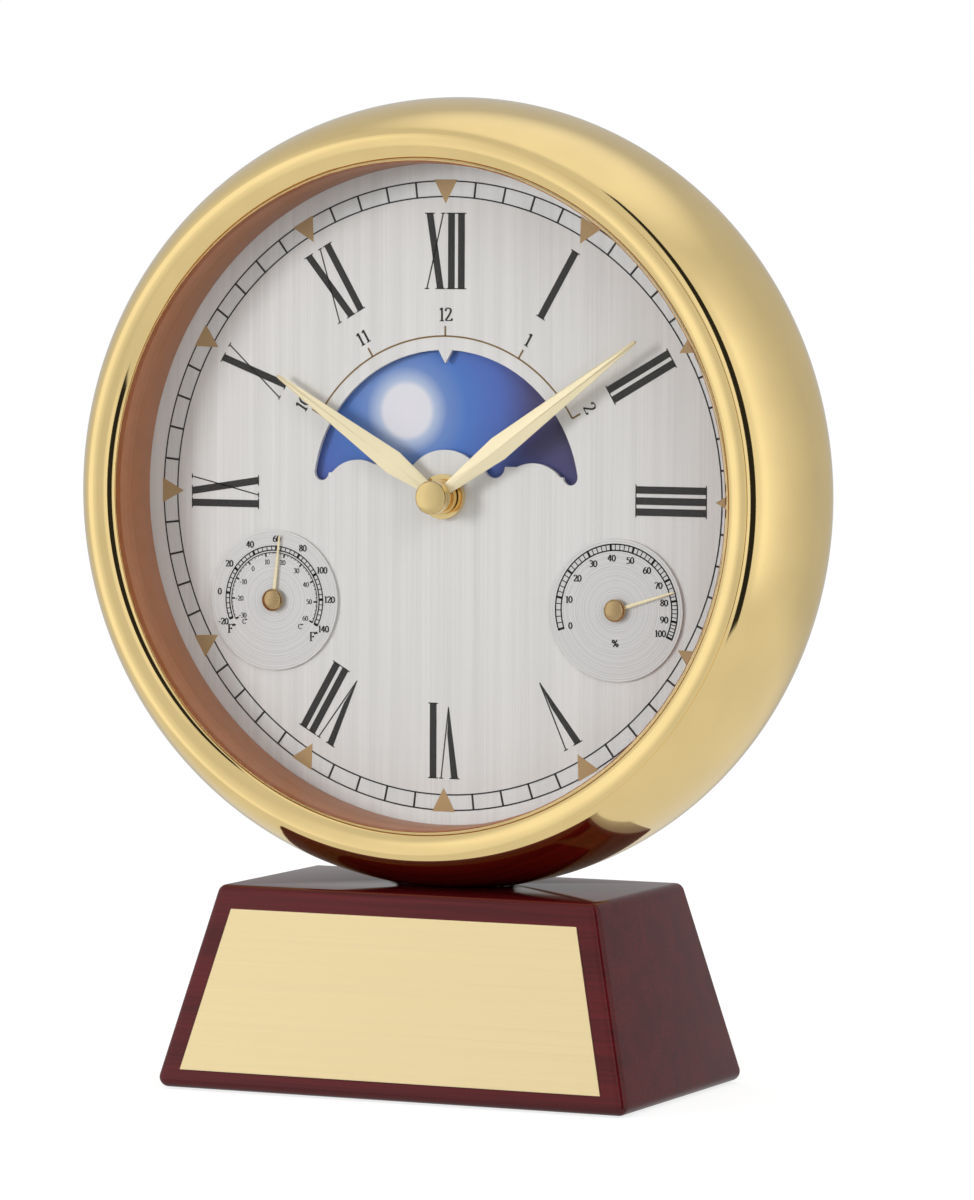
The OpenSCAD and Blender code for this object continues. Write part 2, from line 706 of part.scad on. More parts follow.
module window_shape() {
    lobe_r = (window_r - cloud_x - cloud_r) * 0.65;
    lobe_up = 4.6;
    inner_lobe_r = (cloud_x - window_foot_r) * 0.23;
    inner_lobe_up = 6.6;
    difference() {
        circle(r = window_r);
        translate([-window_r - 1, -2 * window_r]) square([2 * window_r + 2, 2 * window_r + lobe_up]);
        translate([-cloud_x, -window_r]) square([2 * cloud_x, window_r + inner_lobe_up]);
        clouds();
        circle(r = window_foot_r);
        polygon([[-notch_w / 2, window_r + 0.2], [notch_w / 2, window_r + 0.2], [0, window_r - notch_depth]]);
    }
    for (side = [-1, 1]) difference() {
        union() {
            translate([side * (window_r - lobe_r - 0.4), lobe_up]) circle(r = lobe_r);
            translate([side * (window_foot_r + inner_lobe_r - 0.8), inner_lobe_up]) circle(r = inner_lobe_r);
        }
        clouds();
        circle(r = window_foot_r);
    }
}

module clouds() {
    for (side = [-1, 1]) translate([side * cloud_x, -cloud_drop]) circle(r = cloud_r);
}

module on_gauge(side) {
    on_dial() rotate([0, 0, -side * gauge_angle]) translate([0, gauge_radius, 0])
        rotate([0, 0, side * gauge_angle]) children();
}

module dial_plate() {
    color("gainsboro") difference() {
        on_dial() difference() {
            disc(dial_r, dial_back, 0);
            translate([0, 0, dial_back - 1]) linear_extrude(dial_t + 2) window_shape();
            disc(bush_r + fit_gap, dial_back - 1, 1);
        }
        for (side = [-1, 1]) on_gauge(side) disc(can_r + fit_gap, dial_back - 1, 1);
    }
}

// Thermometer and hygrometer

gauge_arbor_r = 0.5;
needle_z = gauge_t + 0.5;
needle_t = 0.2;
can_back = -can_depth;

module gauge_face(side) {
    on_gauge(side) ring(gauge_r, gauge_arbor_r + run_gap, 0, gauge_t);
}

module gauge_can(side) {
    on_gauge(side) difference() {
        disc(can_r, can_back, 0);
        disc(can_r - can_wall, can_back + can_wall, 1);
        for (a = [0 : 60 : 300]) rotate([0, 0, a]) translate([can_r * 0.6, 0, can_back - 1])
            cylinder(r = 1, h = can_wall + 2);
        disc(gauge_arbor_r + run_gap, can_back - 1, can_back + 1);
    }
}

// A flat spiral strip, one end on a stud in the can and the other beside the needle's arbor
module gauge_coil(side) {
    turns = 4.5;
    strip = 0.35;
    inner = 1.6;
    outer = can_r * 0.62;
    steps = 90;
    function mid(i) = inner + (outer - inner) * i / steps;
    on_gauge(side) {
        translate([0, 0, can_back + can_wall + 1]) linear_extrude(2) polygon(concat(
            [for (i = [0 : steps]) polar(mid(i) - strip / 2, 360 * turns * i / steps)],
            [for (i = [steps : -1 : 0]) polar(mid(i) + strip / 2, 360 * turns * i / steps)]));
        rotate([0, 0, 360 * turns]) translate([outer + strip / 2 + 0.4, 0, can_back + can_wall])
            cylinder(r = 0.5, h = 3.4);
    }
}

module gauge_needle(side, shows) {
    on_gauge(side) rotate([0, 0, -shows]) {
        translate([0, 0, needle_z]) linear_extrude(needle_t) polygon([[-0.32, -3.6], [0.32, -3.6],
            [0.12, needle_len], [-0.12, needle_len]]);
        disc(gauge_arbor_r, can_back + 0.1, needle_z + needle_t);
    }
}

module gauge_cap(side) {
    cap_z_low = needle_z + needle_t;
    rise = needle_cap_r * 0.28;
    ball = (pow(needle_cap_r, 2) + pow(rise, 2)) / (2 * rise);
    on_gauge(side) rotate_extrude() polygon(concat([[0, cap_z_low], [needle_cap_r, cap_z_low]],
        [for (i = [0 : 12]) let (a = asin(needle_cap_r / ball) * (1 - i / 12))
            [ball * sin(a), cap_z_low + 0.2 + rise - ball + ball * cos(a)]]));
}

module thermometer_face() { color("whitesmoke") gauge_face(-1); }
module thermometer_can() { color(steel) gauge_can(-1); }
module thermometer_coil() { color("peru") gauge_coil(-1); }
module thermometer_needle() { color(gold) gauge_needle(-1, thermometer_shows); }
module thermometer_cap() { color(gold) gauge_cap(-1); }
module hygrometer_face() { color("whitesmoke") gauge_face(1); }
module hygrometer_can() { color(steel) gauge_can(1); }
module hygrometer_coil() { color("peru") gauge_coil(1); }
module hygrometer_needle() { color(gold) gauge_needle(1, hygrometer_shows); }
module hygrometer_cap() { color(gold) gauge_cap(1); }

// Movement

module at_pillars() {
    for (side = [-1, 1]) {
        translate([side * (movement_w / 2 - pillar_r - 0.2), movement_foot + pillar_r + 0.2, 0]) children();
        translate([side * (movement_w / 2 - pillar_r - 0.2), movement_head - pillar_r - 0.2, 0]) children();
    }
}

module bay_outline(z_low, z_high) {
    translate([-bay_half_w, movement_foot + movement_wall, z_low])
        cube([2 * bay_half_w, bay_top - movement_foot - movement_wall, z_high - z_low]);
}

bridge_posts = [[-20, 3.5], [24.4, -8], [24.4, 15]];

module movement_front_shell() {
    color("black") on_dial() difference() {
        union() {
            difference() {
                translate([0, movement_mid, 0]) plate(movement_w, movement_h, shell_split, movement_front);
                translate([0, movement_mid, 0]) plate(movement_w - 2 * movement_wall,
                    movement_h - 2 * movement_wall, shell_split - 1, movement_inner);
            }
            translate([-bay_half_w - 0.5, bay_top, shell_split])
                cube([2 * bay_half_w + 1, bay_wall, movement_inner - shell_split + 0.5]);
            at_pillars() disc(pillar_r, movement_front - 0.5, dial_back);
            for (post = bridge_posts) translate(post) disc(1.4, bridge_z + bridge_t, movement_inner + 0.5);
        }
        disc(bush_r, movement_inner - 1, movement_front + 1);
        translate(moon_at) disc(moon_arbor_r + run_gap, movement_inner - 1, movement_front + 1);
        translate(motion_at) disc(pivot_r + run_gap, movement_inner - 1, movement_inner + pivot_depth);
        translate(third_at) disc(pivot_r + run_gap, movement_inner - 1, movement_inner + pivot_depth);
        translate(second_at) disc(pivot_r + run_gap, movement_inner - 1, movement_inner + pivot_depth);
    }
}

module movement_back_shell() {
    color("dimgray") on_dial() difference() {
        union() {
            difference() {
                translate([0, movement_mid, 0]) plate(movement_w, movement_h, movement_back, shell_split);
                translate([0, movement_mid, 0]) plate(movement_w - 2 * movement_wall,
                    movement_h - 2 * movement_wall, movement_inner_back, shell_split + 1);
            }
            translate([-bay_half_w - 0.5, bay_top, movement_back])
                cube([2 * bay_half_w + 1, bay_wall, shell_split - movement_back]);
        }
        bay_outline(movement_back - 1, shell_split + 1);
        translate(moon_at) disc(moon_arbor_r + run_gap, movement_back - 1, movement_inner_back + 1);
        translate(motion_at) disc(knob_arbor_r + run_gap, movement_back - 1, movement_inner_back + 1);
    }
}

stator_t = 0.8;
stator_z = second_z;
coil_y = 20.3;
coil_r = 2;
core_r = 0.6;
rotor_posts = [[4.6, 17.3], [15.4, 16.2]];
stator_rests = [[-16, 8.8], [-4, 8.8]];

// The bridge that carries the rear pivots of the going train
module train_bridge() {
    color("tan") on_dial() {
        difference() {
            translate([0, 0, bridge_z]) linear_extrude(bridge_t) difference() {
                polygon([[-22, 1.5], [-22, 9.8], [1, 9.8], [1, 18.8], [8, 18.8], [17.4, 17.8], [26, 17.2],
                    [26, -10.2], [20, -10.2], [2, -6], [-14, -5]]);
                translate(motion_at) circle(r = knob_arbor_r + 1.2);
            }
            disc(centre_pivot_r + run_gap, bridge_z - 1, bridge_z + 2);
            for (at = [third_at, second_at, step_at, rotor_at])
                translate(at) disc(pivot_r + run_gap, bridge_z - 1, bridge_z + 2);
        }
        for (at = stator_rests) translate(at) disc(0.7, bridge_z + bridge_t - 0.2, stator_z);
        for (at = rotor_posts) translate(at) disc(1, bridge_z + bridge_t - 0.2, rotor_bridge_z);
    }
}

// The small bridge in front of the rotor and the step wheel, on two posts of the train bridge
module rotor_bridge() {
    color("tan") on_dial() difference() {
        translate([0, 0, rotor_bridge_z]) linear_extrude(rotor_bridge_t)
            polygon([[3.2, 10.4], [12.2, 10.4], [17, 14.6], [17, 17.8], [3.2, 18.8]]);
        for (at = [step_at, rotor_at])
            translate(at) disc(pivot_r + run_gap, rotor_bridge_z - 1, rotor_bridge_z + 2);
    }
}

// The circuit board lies against the inside of the rear shell, above the cell
module circuit_board() {
    low = bay_top + bay_wall + 2.2;
    high = moon_arbor_up - 11;
    color("darkgreen") on_dial() difference() {
        translate([2.4 - bay_half_w, low, movement_inner_back]) cube([2 * bay_half_w - 6.8, high - low, 1.2]);
        translate(motion_at) disc(knob_arbor_r + 1, movement_inner_back - 1, movement_inner_back + 2);
    }
}

module motor_coil() {
    color("orangered") on_dial() translate([-17, coil_y, stator_z + stator_t / 2]) rotate([0, 90, 0])
        difference() {
            cylinder(r = coil_r, h = 16);
            translate([0, 0, -1]) cylinder(r = core_r, h = 18);
        }
}

// The stator: a plate around the rotor, two arms, and a round core through the coil
module motor_stator() {
    color("slategray") on_dial() {
        translate([0, 0, stator_z]) linear_extrude(stator_t) difference() {
            union() {
                translate(rotor_at) circle(r = rotor_r + 1.5);
                translate([-0.6, 11]) square([2.8, 11]);
                translate([-21, 8.2]) square([26, 1.3]);
                translate([-21, 8.2]) square([2.6, 13.8]);
            }
            translate(rotor_at) circle(r = stator_bore_r);
        }
        translate([-18.6, coil_y, stator_z + stator_t / 2]) rotate([0, 90, 0])
            cylinder(r = core_r, h = 18.2);
    }
}

module motor_rotor() {
    color("darkgray") on_dial() translate(rotor_at) {
        disc(pivot_r, bridge_z + 0.1, rotor_bridge_z + rotor_bridge_t - 0.1);
        disc(rotor_r, bridge_z + bridge_t + 0.3, stator_z + stator_t + 0.3);
        gear(rotor_teeth, step_module, rotor_phase, step_z - 0.2, step_t + 0.4);
    }
}

module step_wheel() {
    color("ivory") on_dial() translate(step_at) {
        disc(pivot_r, bridge_z + 0.1, rotor_bridge_z + rotor_bridge_t - 0.1);
        gear(step_pinion_teeth, train_module, step_pinion_phase, second_z - 0.2, wheel_t + 0.4);
        gear(step_teeth, step_module, step_phase, step_z, step_t);
    }
}

module quartz_crystal() {
    color(steel) on_dial() translate([4, 3, movement_inner_back + 2.2]) rotate([0, 90, 0])
        cylinder(r = 1, h = 6);
}

// Each contact is a leaf with a pressed dimple that reaches the cell's end
module battery_contacts() {
    leaf_w = 9;
    dimple = bay_half_w - contact_t - cell_len / 2 - run_gap;
    color(steel) on_dial() for (side = [-1, 1]) {
        translate([side > 0 ? bay_half_w - contact_t : -bay_half_w, -cell_drop - leaf_w / 2, cell_z - 5.5])
            cube([contact_t, leaf_w, 11]);
        translate([side > 0 ? bay_half_w - contact_t - dimple : contact_t - bay_half_w - 0.1, -cell_drop,
            cell_z]) rotate([0, 90, 0]) cylinder(r = 2.2, h = dimple + 0.1);
    }
}

// A cell with its raised tip to the right
module battery_cell() {
    tip = 1.3;
    color("steelblue") on_dial() translate([-cell_len / 2, -cell_drop, cell_z]) rotate([0, 90, 0]) {
        cylinder(r = cell_r, h = cell_len - tip);
        translate([0, 0, cell_len - tip]) cylinder(r = 2.75, h = tip);
    }
}

// The threaded bush: through the front plate, the moon ring's bore and the dial
module shaft_bush() {
    color(gold) on_dial() difference() {
        union() {
            disc(bush_r, movement_inner - bush_flange_t, dial_nut_t);
            disc(bush_flange_r, movement_inner - bush_flange_t, movement_inner);
        }
        disc(bush_bore_r, movement_inner - 3, dial_nut_t + 2);
    }
}

module dial_nut() {
    color(gold) on_dial() ring(dial_nut_r, bush_r, 0, dial_nut_t);
}

// Hands and motion work

module centre_arbor() {
    color(steel) on_dial() {
        disc(minute_tube_r, cannon_z, minute_z + collet_t + 1.6);
        gear(cannon_teeth, cannon_module, cannon_phase, cannon_z, 1);
        disc(centre_arbor_r, centre_z - 0.6, cannon_z + 0.1);
        disc(centre_pivot_r, bridge_z + 0.1, centre_z);
    }
}

centre_arbor_r = 1;

// The centre wheel turns the arbor by friction, so that the hands can be set without it
module centre_wheel() {
    color(gold) on_dial() difference() {
        gear(centre_teeth, train_module, centre_phase, centre_z, wheel_t);
        disc(centre_arbor_r + run_gap, centre_z - 1, centre_z + 2);
    }
}

module friction_spring() {
    low = centre_z + wheel_t + slip_gap;
    high = cannon_z;
    color(steel) on_dial() rotate_extrude() polygon([[centre_arbor_r, high - 0.25], [1.4, high - 0.25],
        [2.8, low], [3.2, low], [3.2, low + 0.25], [2.9, low + 0.25], [1.5, high], [centre_arbor_r, high]]);
}

module centre_collar() {
    color(steel) on_dial() ring(1.9, centre_arbor_r, centre_z - 0.6, centre_z - slip_gap);
}

// A lance: straight flanks from the collet to the widest place and on to the tip
module hand_blade(length, wide_at, z_low) {
    translate([0, 0, z_low]) linear_extrude(hand_t) polygon([[-hand_root_w / 2, 2.4], [-hand_w / 2, wide_at],
        [-hand_tip_w / 2, length - hand_tip_w / 2], [-hand_tip_w / 4, length], [hand_tip_w / 4, length],
        [hand_tip_w / 2, length - hand_tip_w / 2], [hand_w / 2, wide_at], [hand_root_w / 2, 2.4]]);
}

module minute_hand() {
    color(pale_gold) on_dial() rotate([0, 0, -minute_shows]) difference() {
        union() {
            hand_blade(minute_len, minute_wide_at, minute_z + collet_t - hand_t);
            disc(3.2, minute_z, minute_z + collet_t);
        }
        disc(minute_tube_r, minute_z - 1, minute_z + collet_t + 1);
    }
}

module hour_hand() {
    color(pale_gold) on_dial() rotate([0, 0, -hour_shows]) difference() {
        union() {
            hand_blade(hour_len, hour_wide_at, hour_z + collet_t - hand_t);
            disc(3.8, hour_z, hour_z + collet_t);
        }
        disc(hour_tube_r, hour_z - 1, hour_z + collet_t + 1);
    }
}

module hand_nut() {
    color(gold) on_dial() difference() {
        rotate_extrude() polygon(concat([[0, cap_z], [cap_r, cap_z], [cap_r, cap_z + cap_h - 1]],
            [for (i = [0 : 6]) [cap_r - 0.6 + 0.6 * cos(15 * i), cap_z + cap_h - 1 + 0.6 * sin(15 * i)]],
            [[0, cap_z + cap_h]]));
        disc(minute_tube_r, cap_z - 1, cap_z + 1.7);
    }
}

module hour_wheel() {
    color("ivory") on_dial() difference() {
        union() {
            disc(hour_tube_r, hour_wheel_z, hour_z + collet_t);
            gear(hour_wheel_teeth, hour_module, hour_wheel_phase, hour_wheel_z, wheel_t);
            gear(moon_drive_teeth, moon_drive_module, moon_drive_phase, moon_drive_z, wheel_t);
        }
        disc(hour_bore_r, hour_wheel_z - 1, hour_z + collet_t + 1);
    }
}

// The minute wheel's arbor carries the time setting knob behind the movement
module minute_wheel() {
    color("ivory") on_dial() translate(motion_at) {
        disc(pivot_r, hour_wheel_z, movement_inner + pivot_depth - 0.1);
        gear(minute_pinion_teeth, hour_module, minute_pinion_phase, hour_wheel_z - 0.6, wheel_t + 0.8);
        gear(minute_wheel_teeth, cannon_module, minute_wheel_phase, cannon_z, 1);
        disc(knob_arbor_r, movement_back - 1.6, cannon_z + 0.5);
    }
}

module knob(grooves) {
    low = movement_back - 0.3 - knob_h;
    difference() {
        disc(knob_r, low, movement_back - 0.3);
        for (i = [0 : grooves - 1]) rotate([0, 0, 360 * i / grooves]) translate([knob_r + 0.25, 0, low - 1])
            cylinder(r = 0.7, h = knob_h + 2);
        children();
    }
}

module time_set_knob() {
    color("gray") on_dial() translate(motion_at) knob(18) disc(knob_arbor_r, movement_back - 1.6, 0);
}

module third_wheel() {
    color(gold) on_dial() translate(third_at) {
        disc(pivot_r, bridge_z + 0.1, movement_inner + pivot_depth - 0.1);
        disc(arbor_r, bridge_z + bridge_t + 0.2, movement_inner - 0.2);
        gear(third_pinion_teeth, train_module, third_pinion_phase, centre_z - 0.2, wheel_t + 0.6);
        gear(third_teeth, train_module, third_phase, third_z, wheel_t);
    }
}

module second_wheel() {
    color("ivory") on_dial() translate(second_at) {
        disc(pivot_r, bridge_z + 0.1, movement_inner + pivot_depth - 0.1);
        disc(arbor_r, bridge_z + bridge_t + 0.2, movement_inner - 0.2);
        gear(second_pinion_teeth, train_module, second_pinion_phase, third_z - 0.2, wheel_t + 0.4);
        gear(second_teeth, train_module, second_phase, second_z, wheel_t);
    }
}

// Moon

module moon_disc() {
    color("royalblue") on_dial() ring(moon_r, bush_r + 0.5, moon_back, moon_front);
}

module moon_ring_gear() {
    color("ivory") on_dial() difference() {
        union() {
            gear(moon_teeth, moon_module, moon_ring_phase, moon_gear_back, moon_gear_t);
            disc(bush_r + 1.6, movement_front + 0.1, moon_gear_back + 0.2);
        }
        disc(bush_r + run_gap, movement_front - 1, moon_back + 1);
    }
}

module moon_transfer_wheel() {
    color("ivory") on_dial() translate(moon_at) difference() {
        gear(moon_transfer_teeth, moon_drive_module, transfer_phase, moon_drive_z, wheel_t);
        disc(moon_arbor_r + run_gap, moon_drive_z - 1, moon_drive_z + 2);
    }
}

// The arbor has a shoulder in front of the transfer wheel, and the clutch spring presses from behind
module moon_arbor() {
    shoulder_z = moon_drive_z + wheel_t + slip_gap;
    color(steel) on_dial() translate(moon_at) {
        disc(moon_arbor_r, movement_back - 1.6, moon_gear_back);
        gear(moon_pinion_teeth, moon_module, moon_pinion_phase, moon_gear_back - 0.1, moon_gear_t - 0.2);
        disc(2, shoulder_z, movement_inner - 0.3);
    }
}

moon_clutch_depth = 2.2;

// A bowed spring washer between the transfer wheel and the arbor's collar
module moon_clutch_spring() {
    low = moon_drive_z - moon_clutch_depth;
    high = moon_drive_z - slip_gap;
    color(steel) on_dial() translate(moon_at) rotate_extrude() polygon([[moon_arbor_r, low], [1.6, low],
        [4.4, high - 0.3], [5, high - 0.3], [5, high], [4.2, high], [1.4, low + 0.3], [moon_arbor_r, low + 0.3]]);
}

module moon_clutch_collar() {
    color(steel) on_dial() translate(moon_at)
        ring(2.4, moon_arbor_r, moon_drive_z - moon_clutch_depth - 1.4, moon_drive_z - moon_clutch_depth);
}

module moon_set_knob() {
    color("gray") on_dial() translate(moon_at) knob(18) disc(moon_arbor_r, movement_back - 1.6, 0);
}

plinth_block();
engraving_plate();
felt_pad();
base_screws();
base_washers();
nut_plate();
case_shell();
front_bezel();
glass_seal();
glass_lens();
spacer_ring();
dial_plate();
dial_carrier();
case_clamps();
clamp_screws();
back_cover();
back_cover_screws();
movement_front_shell();
movement_back_shell();
train_bridge();
rotor_bridge();
circuit_board();
motor_coil();
motor_stator();
motor_rotor();
step_wheel();
quartz_crystal();
battery_contacts();
battery_cell();
shaft_bush();
dial_nut();
centre_arbor();
centre_wheel();
friction_spring();
centre_collar();
minute_hand();
hand_nut();
hour_wheel();
hour_hand();
minute_wheel();
time_set_knob();
third_wheel();
second_wheel();
moon_disc();
moon_ring_gear();
moon_transfer_wheel();
moon_arbor();
moon_clutch_spring();
moon_clutch_collar();
moon_set_knob();
thermometer_face();
thermometer_can();
thermometer_coil();
thermometer_needle();
thermometer_cap();
hygrometer_face();
hygrometer_can();
hygrometer_coil();
hygrometer_needle();
hygrometer_cap();
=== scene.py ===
"""The looks of a desk clock with a moon window, a thermometer and a hygrometer.

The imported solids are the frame. This file gives every piece its finish, replaces the drum, the rims, the
hands and the plinth by finer surfaces of the same shape, prints the dials, and sets up the studio.
Lengths are millimetres in the classes and metres in the meshes. The clock head has its own frame:
x right, y up, z towards the viewer, with the dial's front face at z = 0 and the hands' axis at x = y = 0.
"""

import logging
import math
from dataclasses import dataclass, field
from enum import Enum
from typing import Any, Iterable, Optional, Sequence

import bmesh
import bpy
import numpy as np
from mathutils import Matrix, Vector


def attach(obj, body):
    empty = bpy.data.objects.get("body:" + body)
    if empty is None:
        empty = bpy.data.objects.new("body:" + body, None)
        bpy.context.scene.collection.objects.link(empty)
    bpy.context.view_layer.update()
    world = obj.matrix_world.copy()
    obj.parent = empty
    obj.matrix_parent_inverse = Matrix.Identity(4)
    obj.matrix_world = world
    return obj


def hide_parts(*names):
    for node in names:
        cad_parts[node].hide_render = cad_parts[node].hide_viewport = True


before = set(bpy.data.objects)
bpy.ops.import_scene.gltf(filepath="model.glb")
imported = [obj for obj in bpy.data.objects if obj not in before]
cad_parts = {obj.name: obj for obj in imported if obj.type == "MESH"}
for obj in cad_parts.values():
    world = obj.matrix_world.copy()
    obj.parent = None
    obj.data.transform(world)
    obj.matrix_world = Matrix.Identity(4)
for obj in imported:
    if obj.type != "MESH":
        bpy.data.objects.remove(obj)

log = logging.getLogger("clock")
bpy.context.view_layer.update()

MM = 0.001
DIAL_Y = -4.3
CASE_Z = 127.9
DIAL_Z = 127.52

Pair = tuple[float, float]
Triple = tuple[float, float, float]
Numbers = Sequence[float]
Colour = tuple[float, float, float, float]
Loop = np.ndarray
WHITE = (1.0, 1.0, 1.0, 1.0)


class Axis(Enum):
    """Height of the line that a turned piece is centred on, in millimetres."""

    CASE = CASE_Z
    DIAL = DIAL_Z


class Side(Enum):
    """Which of the two small dials."""

    LEFT = -1
    RIGHT = 1


def srgb(hex_text: str) -> Colour:
    """Turns an sRGB hex colour into the linear values that shaders take.

    Args:
        hex_text: six hex digits, red, green and blue.

    Returns:
        Red, green, blue and alpha, linear.
    """
    parts = [int(hex_text[i : i + 2], 16) / 255 for i in (0, 2, 4)]
    linear = [p / 12.92 if p <= 0.04045 else ((p + 0.055) / 1.055) ** 2.4 for p in parts]
    return linear[0], linear[1], linear[2], 1.0


def add_node(tree: Any, kind: str, links: Optional[dict] = None, **settings: Any) -> Any:
    """Adds a shader node.

    Args:
        tree: the node tree.
        kind: Blender's name of the node's type.
        links: input name or number to the output socket that feeds it, or to a fixed value.
        settings: properties of the node itself.

    Returns:
        The new node.
    """
    node = tree.nodes.new(kind)
    for key, value in settings.items():
        setattr(node, key, value)
    for key, value in (links or {}).items():
        if isinstance(value, bpy.types.NodeSocket):
            tree.links.new(value, node.inputs[key])
        else:
            node.inputs[key].default_value = value
    return node


def ramp(tree: Any, fac: Any, stops: Sequence[tuple[float, Colour]], smooth: bool = False) -> Any:
    """Maps a value to colours.

    Args:
        tree: the node tree.
        fac: the socket with the value.
        stops: place from 0 to 1 and colour of each stop.
        smooth: ease between the stops instead of straight lines.

    Returns:
        The colour socket.
    """
    node = add_node(tree, "ShaderNodeValToRGB", {"Fac": fac})
    band = node.color_ramp
    band.interpolation = "EASE" if smooth else "LINEAR"
    while len(band.elements) > 1:
        band.elements.remove(band.elements[-1])
    band.elements[0].position, band.elements[0].color = stops[0]
    for place, colour in stops[1:]:
        band.elements.new(place).color = colour
    return node.outputs["Color"]


def number(tree: Any, operation: str, *values: Any) -> Any:
    """Reckons with numbers and returns the result's socket."""
    return add_node(tree, "ShaderNodeMath", dict(enumerate(values)), operation=operation).outputs["Value"]


def vector(tree: Any, operation: str, *values: Any) -> Any:
    """Reckons with vectors and returns the socket of the vector or number that comes out."""
    made = add_node(tree, "ShaderNodeVectorMath", dict(enumerate(values)), operation=operation)
    return made.outputs["Value" if operation in ("LENGTH", "DOT_PRODUCT") else "Vector"]


def place(tree: Any) -> Any:
    """Socket with a point's place on the object, in metres."""
    return add_node(tree, "ShaderNodeTexCoord").outputs["Object"]


def away(tree: Any, x: float, z: float) -> Any:
    """Socket with the distance in metres from the line along y through x and z, given in millimetres."""
    moved = vector(tree, "ADD", place(tree), (-x * MM, 0.0, -z * MM))
    return vector(tree, "LENGTH", vector(tree, "MULTIPLY", moved, (1.0, 0.0, 1.0)))


def stretched(tree: Any, where: Any, scale: Vector, shift: Numbers = (0.0, 0.0, 0.0)) -> Any:
    """Socket with a place that is multiplied by a scale and shifted."""
    links = {"Vector": where, "Scale": scale, "Location": shift}
    return add_node(tree, "ShaderNodeMapping", links).outputs["Vector"]


def noise(tree: Any, where: Any, size_mm: float, detail: float, distortion: float = 0.0) -> Any:
    """Socket with soft noise from 0 to 1, in patches of a size in millimetres."""
    links = {"Vector": where, "Scale": 1 / (size_mm * MM), "Detail": detail, "Distortion": distortion}
    return add_node(tree, "ShaderNodeTexNoise", links).outputs["Fac"]


def spread(
    tree: Any, value: Any, start: float, end: float, low: float = 0.0, high: float = 1.0, smooth: bool = False
) -> Any:
    """Takes a value from one range to another, and keeps it within that.

    Args:
        tree: the node tree.
        value: socket with the value.
        start: first end of the value's range.
        end: its other end.
        low: the result at start.
        high: the result at end.
        smooth: ease at both ends instead of a straight line.

    Returns:
        The result's socket.
    """
    links = {"Value": value, "From Min": start, "From Max": end, "To Min": low, "To Max": high}
    kind = "SMOOTHSTEP" if smooth else "LINEAR"
    return add_node(tree, "ShaderNodeMapRange", links, interpolation_type=kind).outputs["Result"]


def mixed(tree: Any, fac: Any, first: Any, second: Any) -> Any:
    """Socket with the first shader where a value is 0 and the second where it is 1."""
    return add_node(tree, "ShaderNodeMixShader", {0: fac, 1: first, 2: second}).outputs["Shader"]


def empty_tree(owner: Any) -> Any:
    """Gives a material or a world a node tree with nothing in it.

    Args:
        owner: the material or the world.

    Returns:
        The tree.
    """
    owner.use_nodes = True
    owner.node_tree.nodes.clear()
    return owner.node_tree


# Finishes


@dataclass(frozen=True)
class Finish:
    """A surface finish: a name, a colour, and how rough it is."""

    name: str
    colour: str
    roughness: float = 0.4
    metallic: float = 0.0

    def make(self) -> Any:
        """Builds the material, or returns it if it exists."""
        known = bpy.data.materials.get(self.name)
        if known:
            return known
        material = bpy.data.materials.new(self.name)
        tree = empty_tree(material)
        base = {"Base Color": srgb(self.colour), "Roughness": self.roughness, "Metallic": self.metallic}
        shader = add_node(tree, "ShaderNodeBsdfPrincipled", base)
        add_node(tree, "ShaderNodeOutputMaterial", {"Surface": shader.outputs["BSDF"]})
        self.dress(shader)
        material.diffuse_color = srgb(self.colour)
        return material

    def dress(self, shader: Any) -> None:
        """Adds the finish's own pattern. The plain finish has a faint unevenness.

        Args:
            shader: the material's Principled shader.
        """
        self.uneven(shader, 4.0, 0.06)

    def uneven(self, shader: Any, size_mm: float, amount: float) -> None:
        """Varies the roughness with soft noise.

        Args:
            shader: the material's Principled shader.
            size_mm: size of the patches.
            amount: how far the roughness goes up and down.
        """
        tree = shader.id_data
        patches = noise(tree, place(tree), size_mm, 3.0)
        low, high = max(self.roughness - amount, 0.02), self.roughness + amount
        tree.links.new(spread(tree, patches, 0.3, 0.7, low, high), shader.inputs["Roughness"])

    def shade(self, shader: Any, value: Any, stops: Sequence[Pair]) -> None:
        """Multiplies the colour by what the stops say for a value.

        Args:
            shader: the material's Principled shader.
            value: socket with the value.
            stops: a value and the factor there, each.
        """
        tree = shader.id_data
        base = srgb(self.colour)[:3]
        tones = [(at, tuple(min(c * factor, 1.0) for c in base) + (1.0,)) for at, factor in stops]
        tree.links.new(ramp(tree, value, tones), shader.inputs["Base Color"])

    def relief(self, shader: Any, height: Any, strength: float, depth_mm: float) -> None:
        """Bumps the surface with a pattern.

        Args:
            shader: the material's Principled shader.
            height: socket with the pattern.
            strength: how much of the bump shows.
            depth_mm: the pattern's depth.
        """
        tree = shader.id_data
        links = {"Height": height, "Strength": strength, "Distance": depth_mm * MM}
        bump = add_node(tree, "ShaderNodeBump", links).outputs["Normal"]
        tree.links.new(bump, shader.inputs["Normal"])


@dataclass(frozen=True)
class PlatedGold(Finish):
    """Gold-plated, polished brass: a mirror that is a little soft, with faint cloudiness in the plating."""

    cloud_mm: float = 14.0

    def dress(self, shader: Any) -> None:
        """Adds plating clouds to the colour and polishing haze to the roughness."""
        tree = shader.id_data
        self.uneven(shader, 9.0, 0.015)
        self.shade(shader, noise(tree, place(tree), self.cloud_mm, 2.0), [(0.35, 0.955), (0.65, 1.0)])


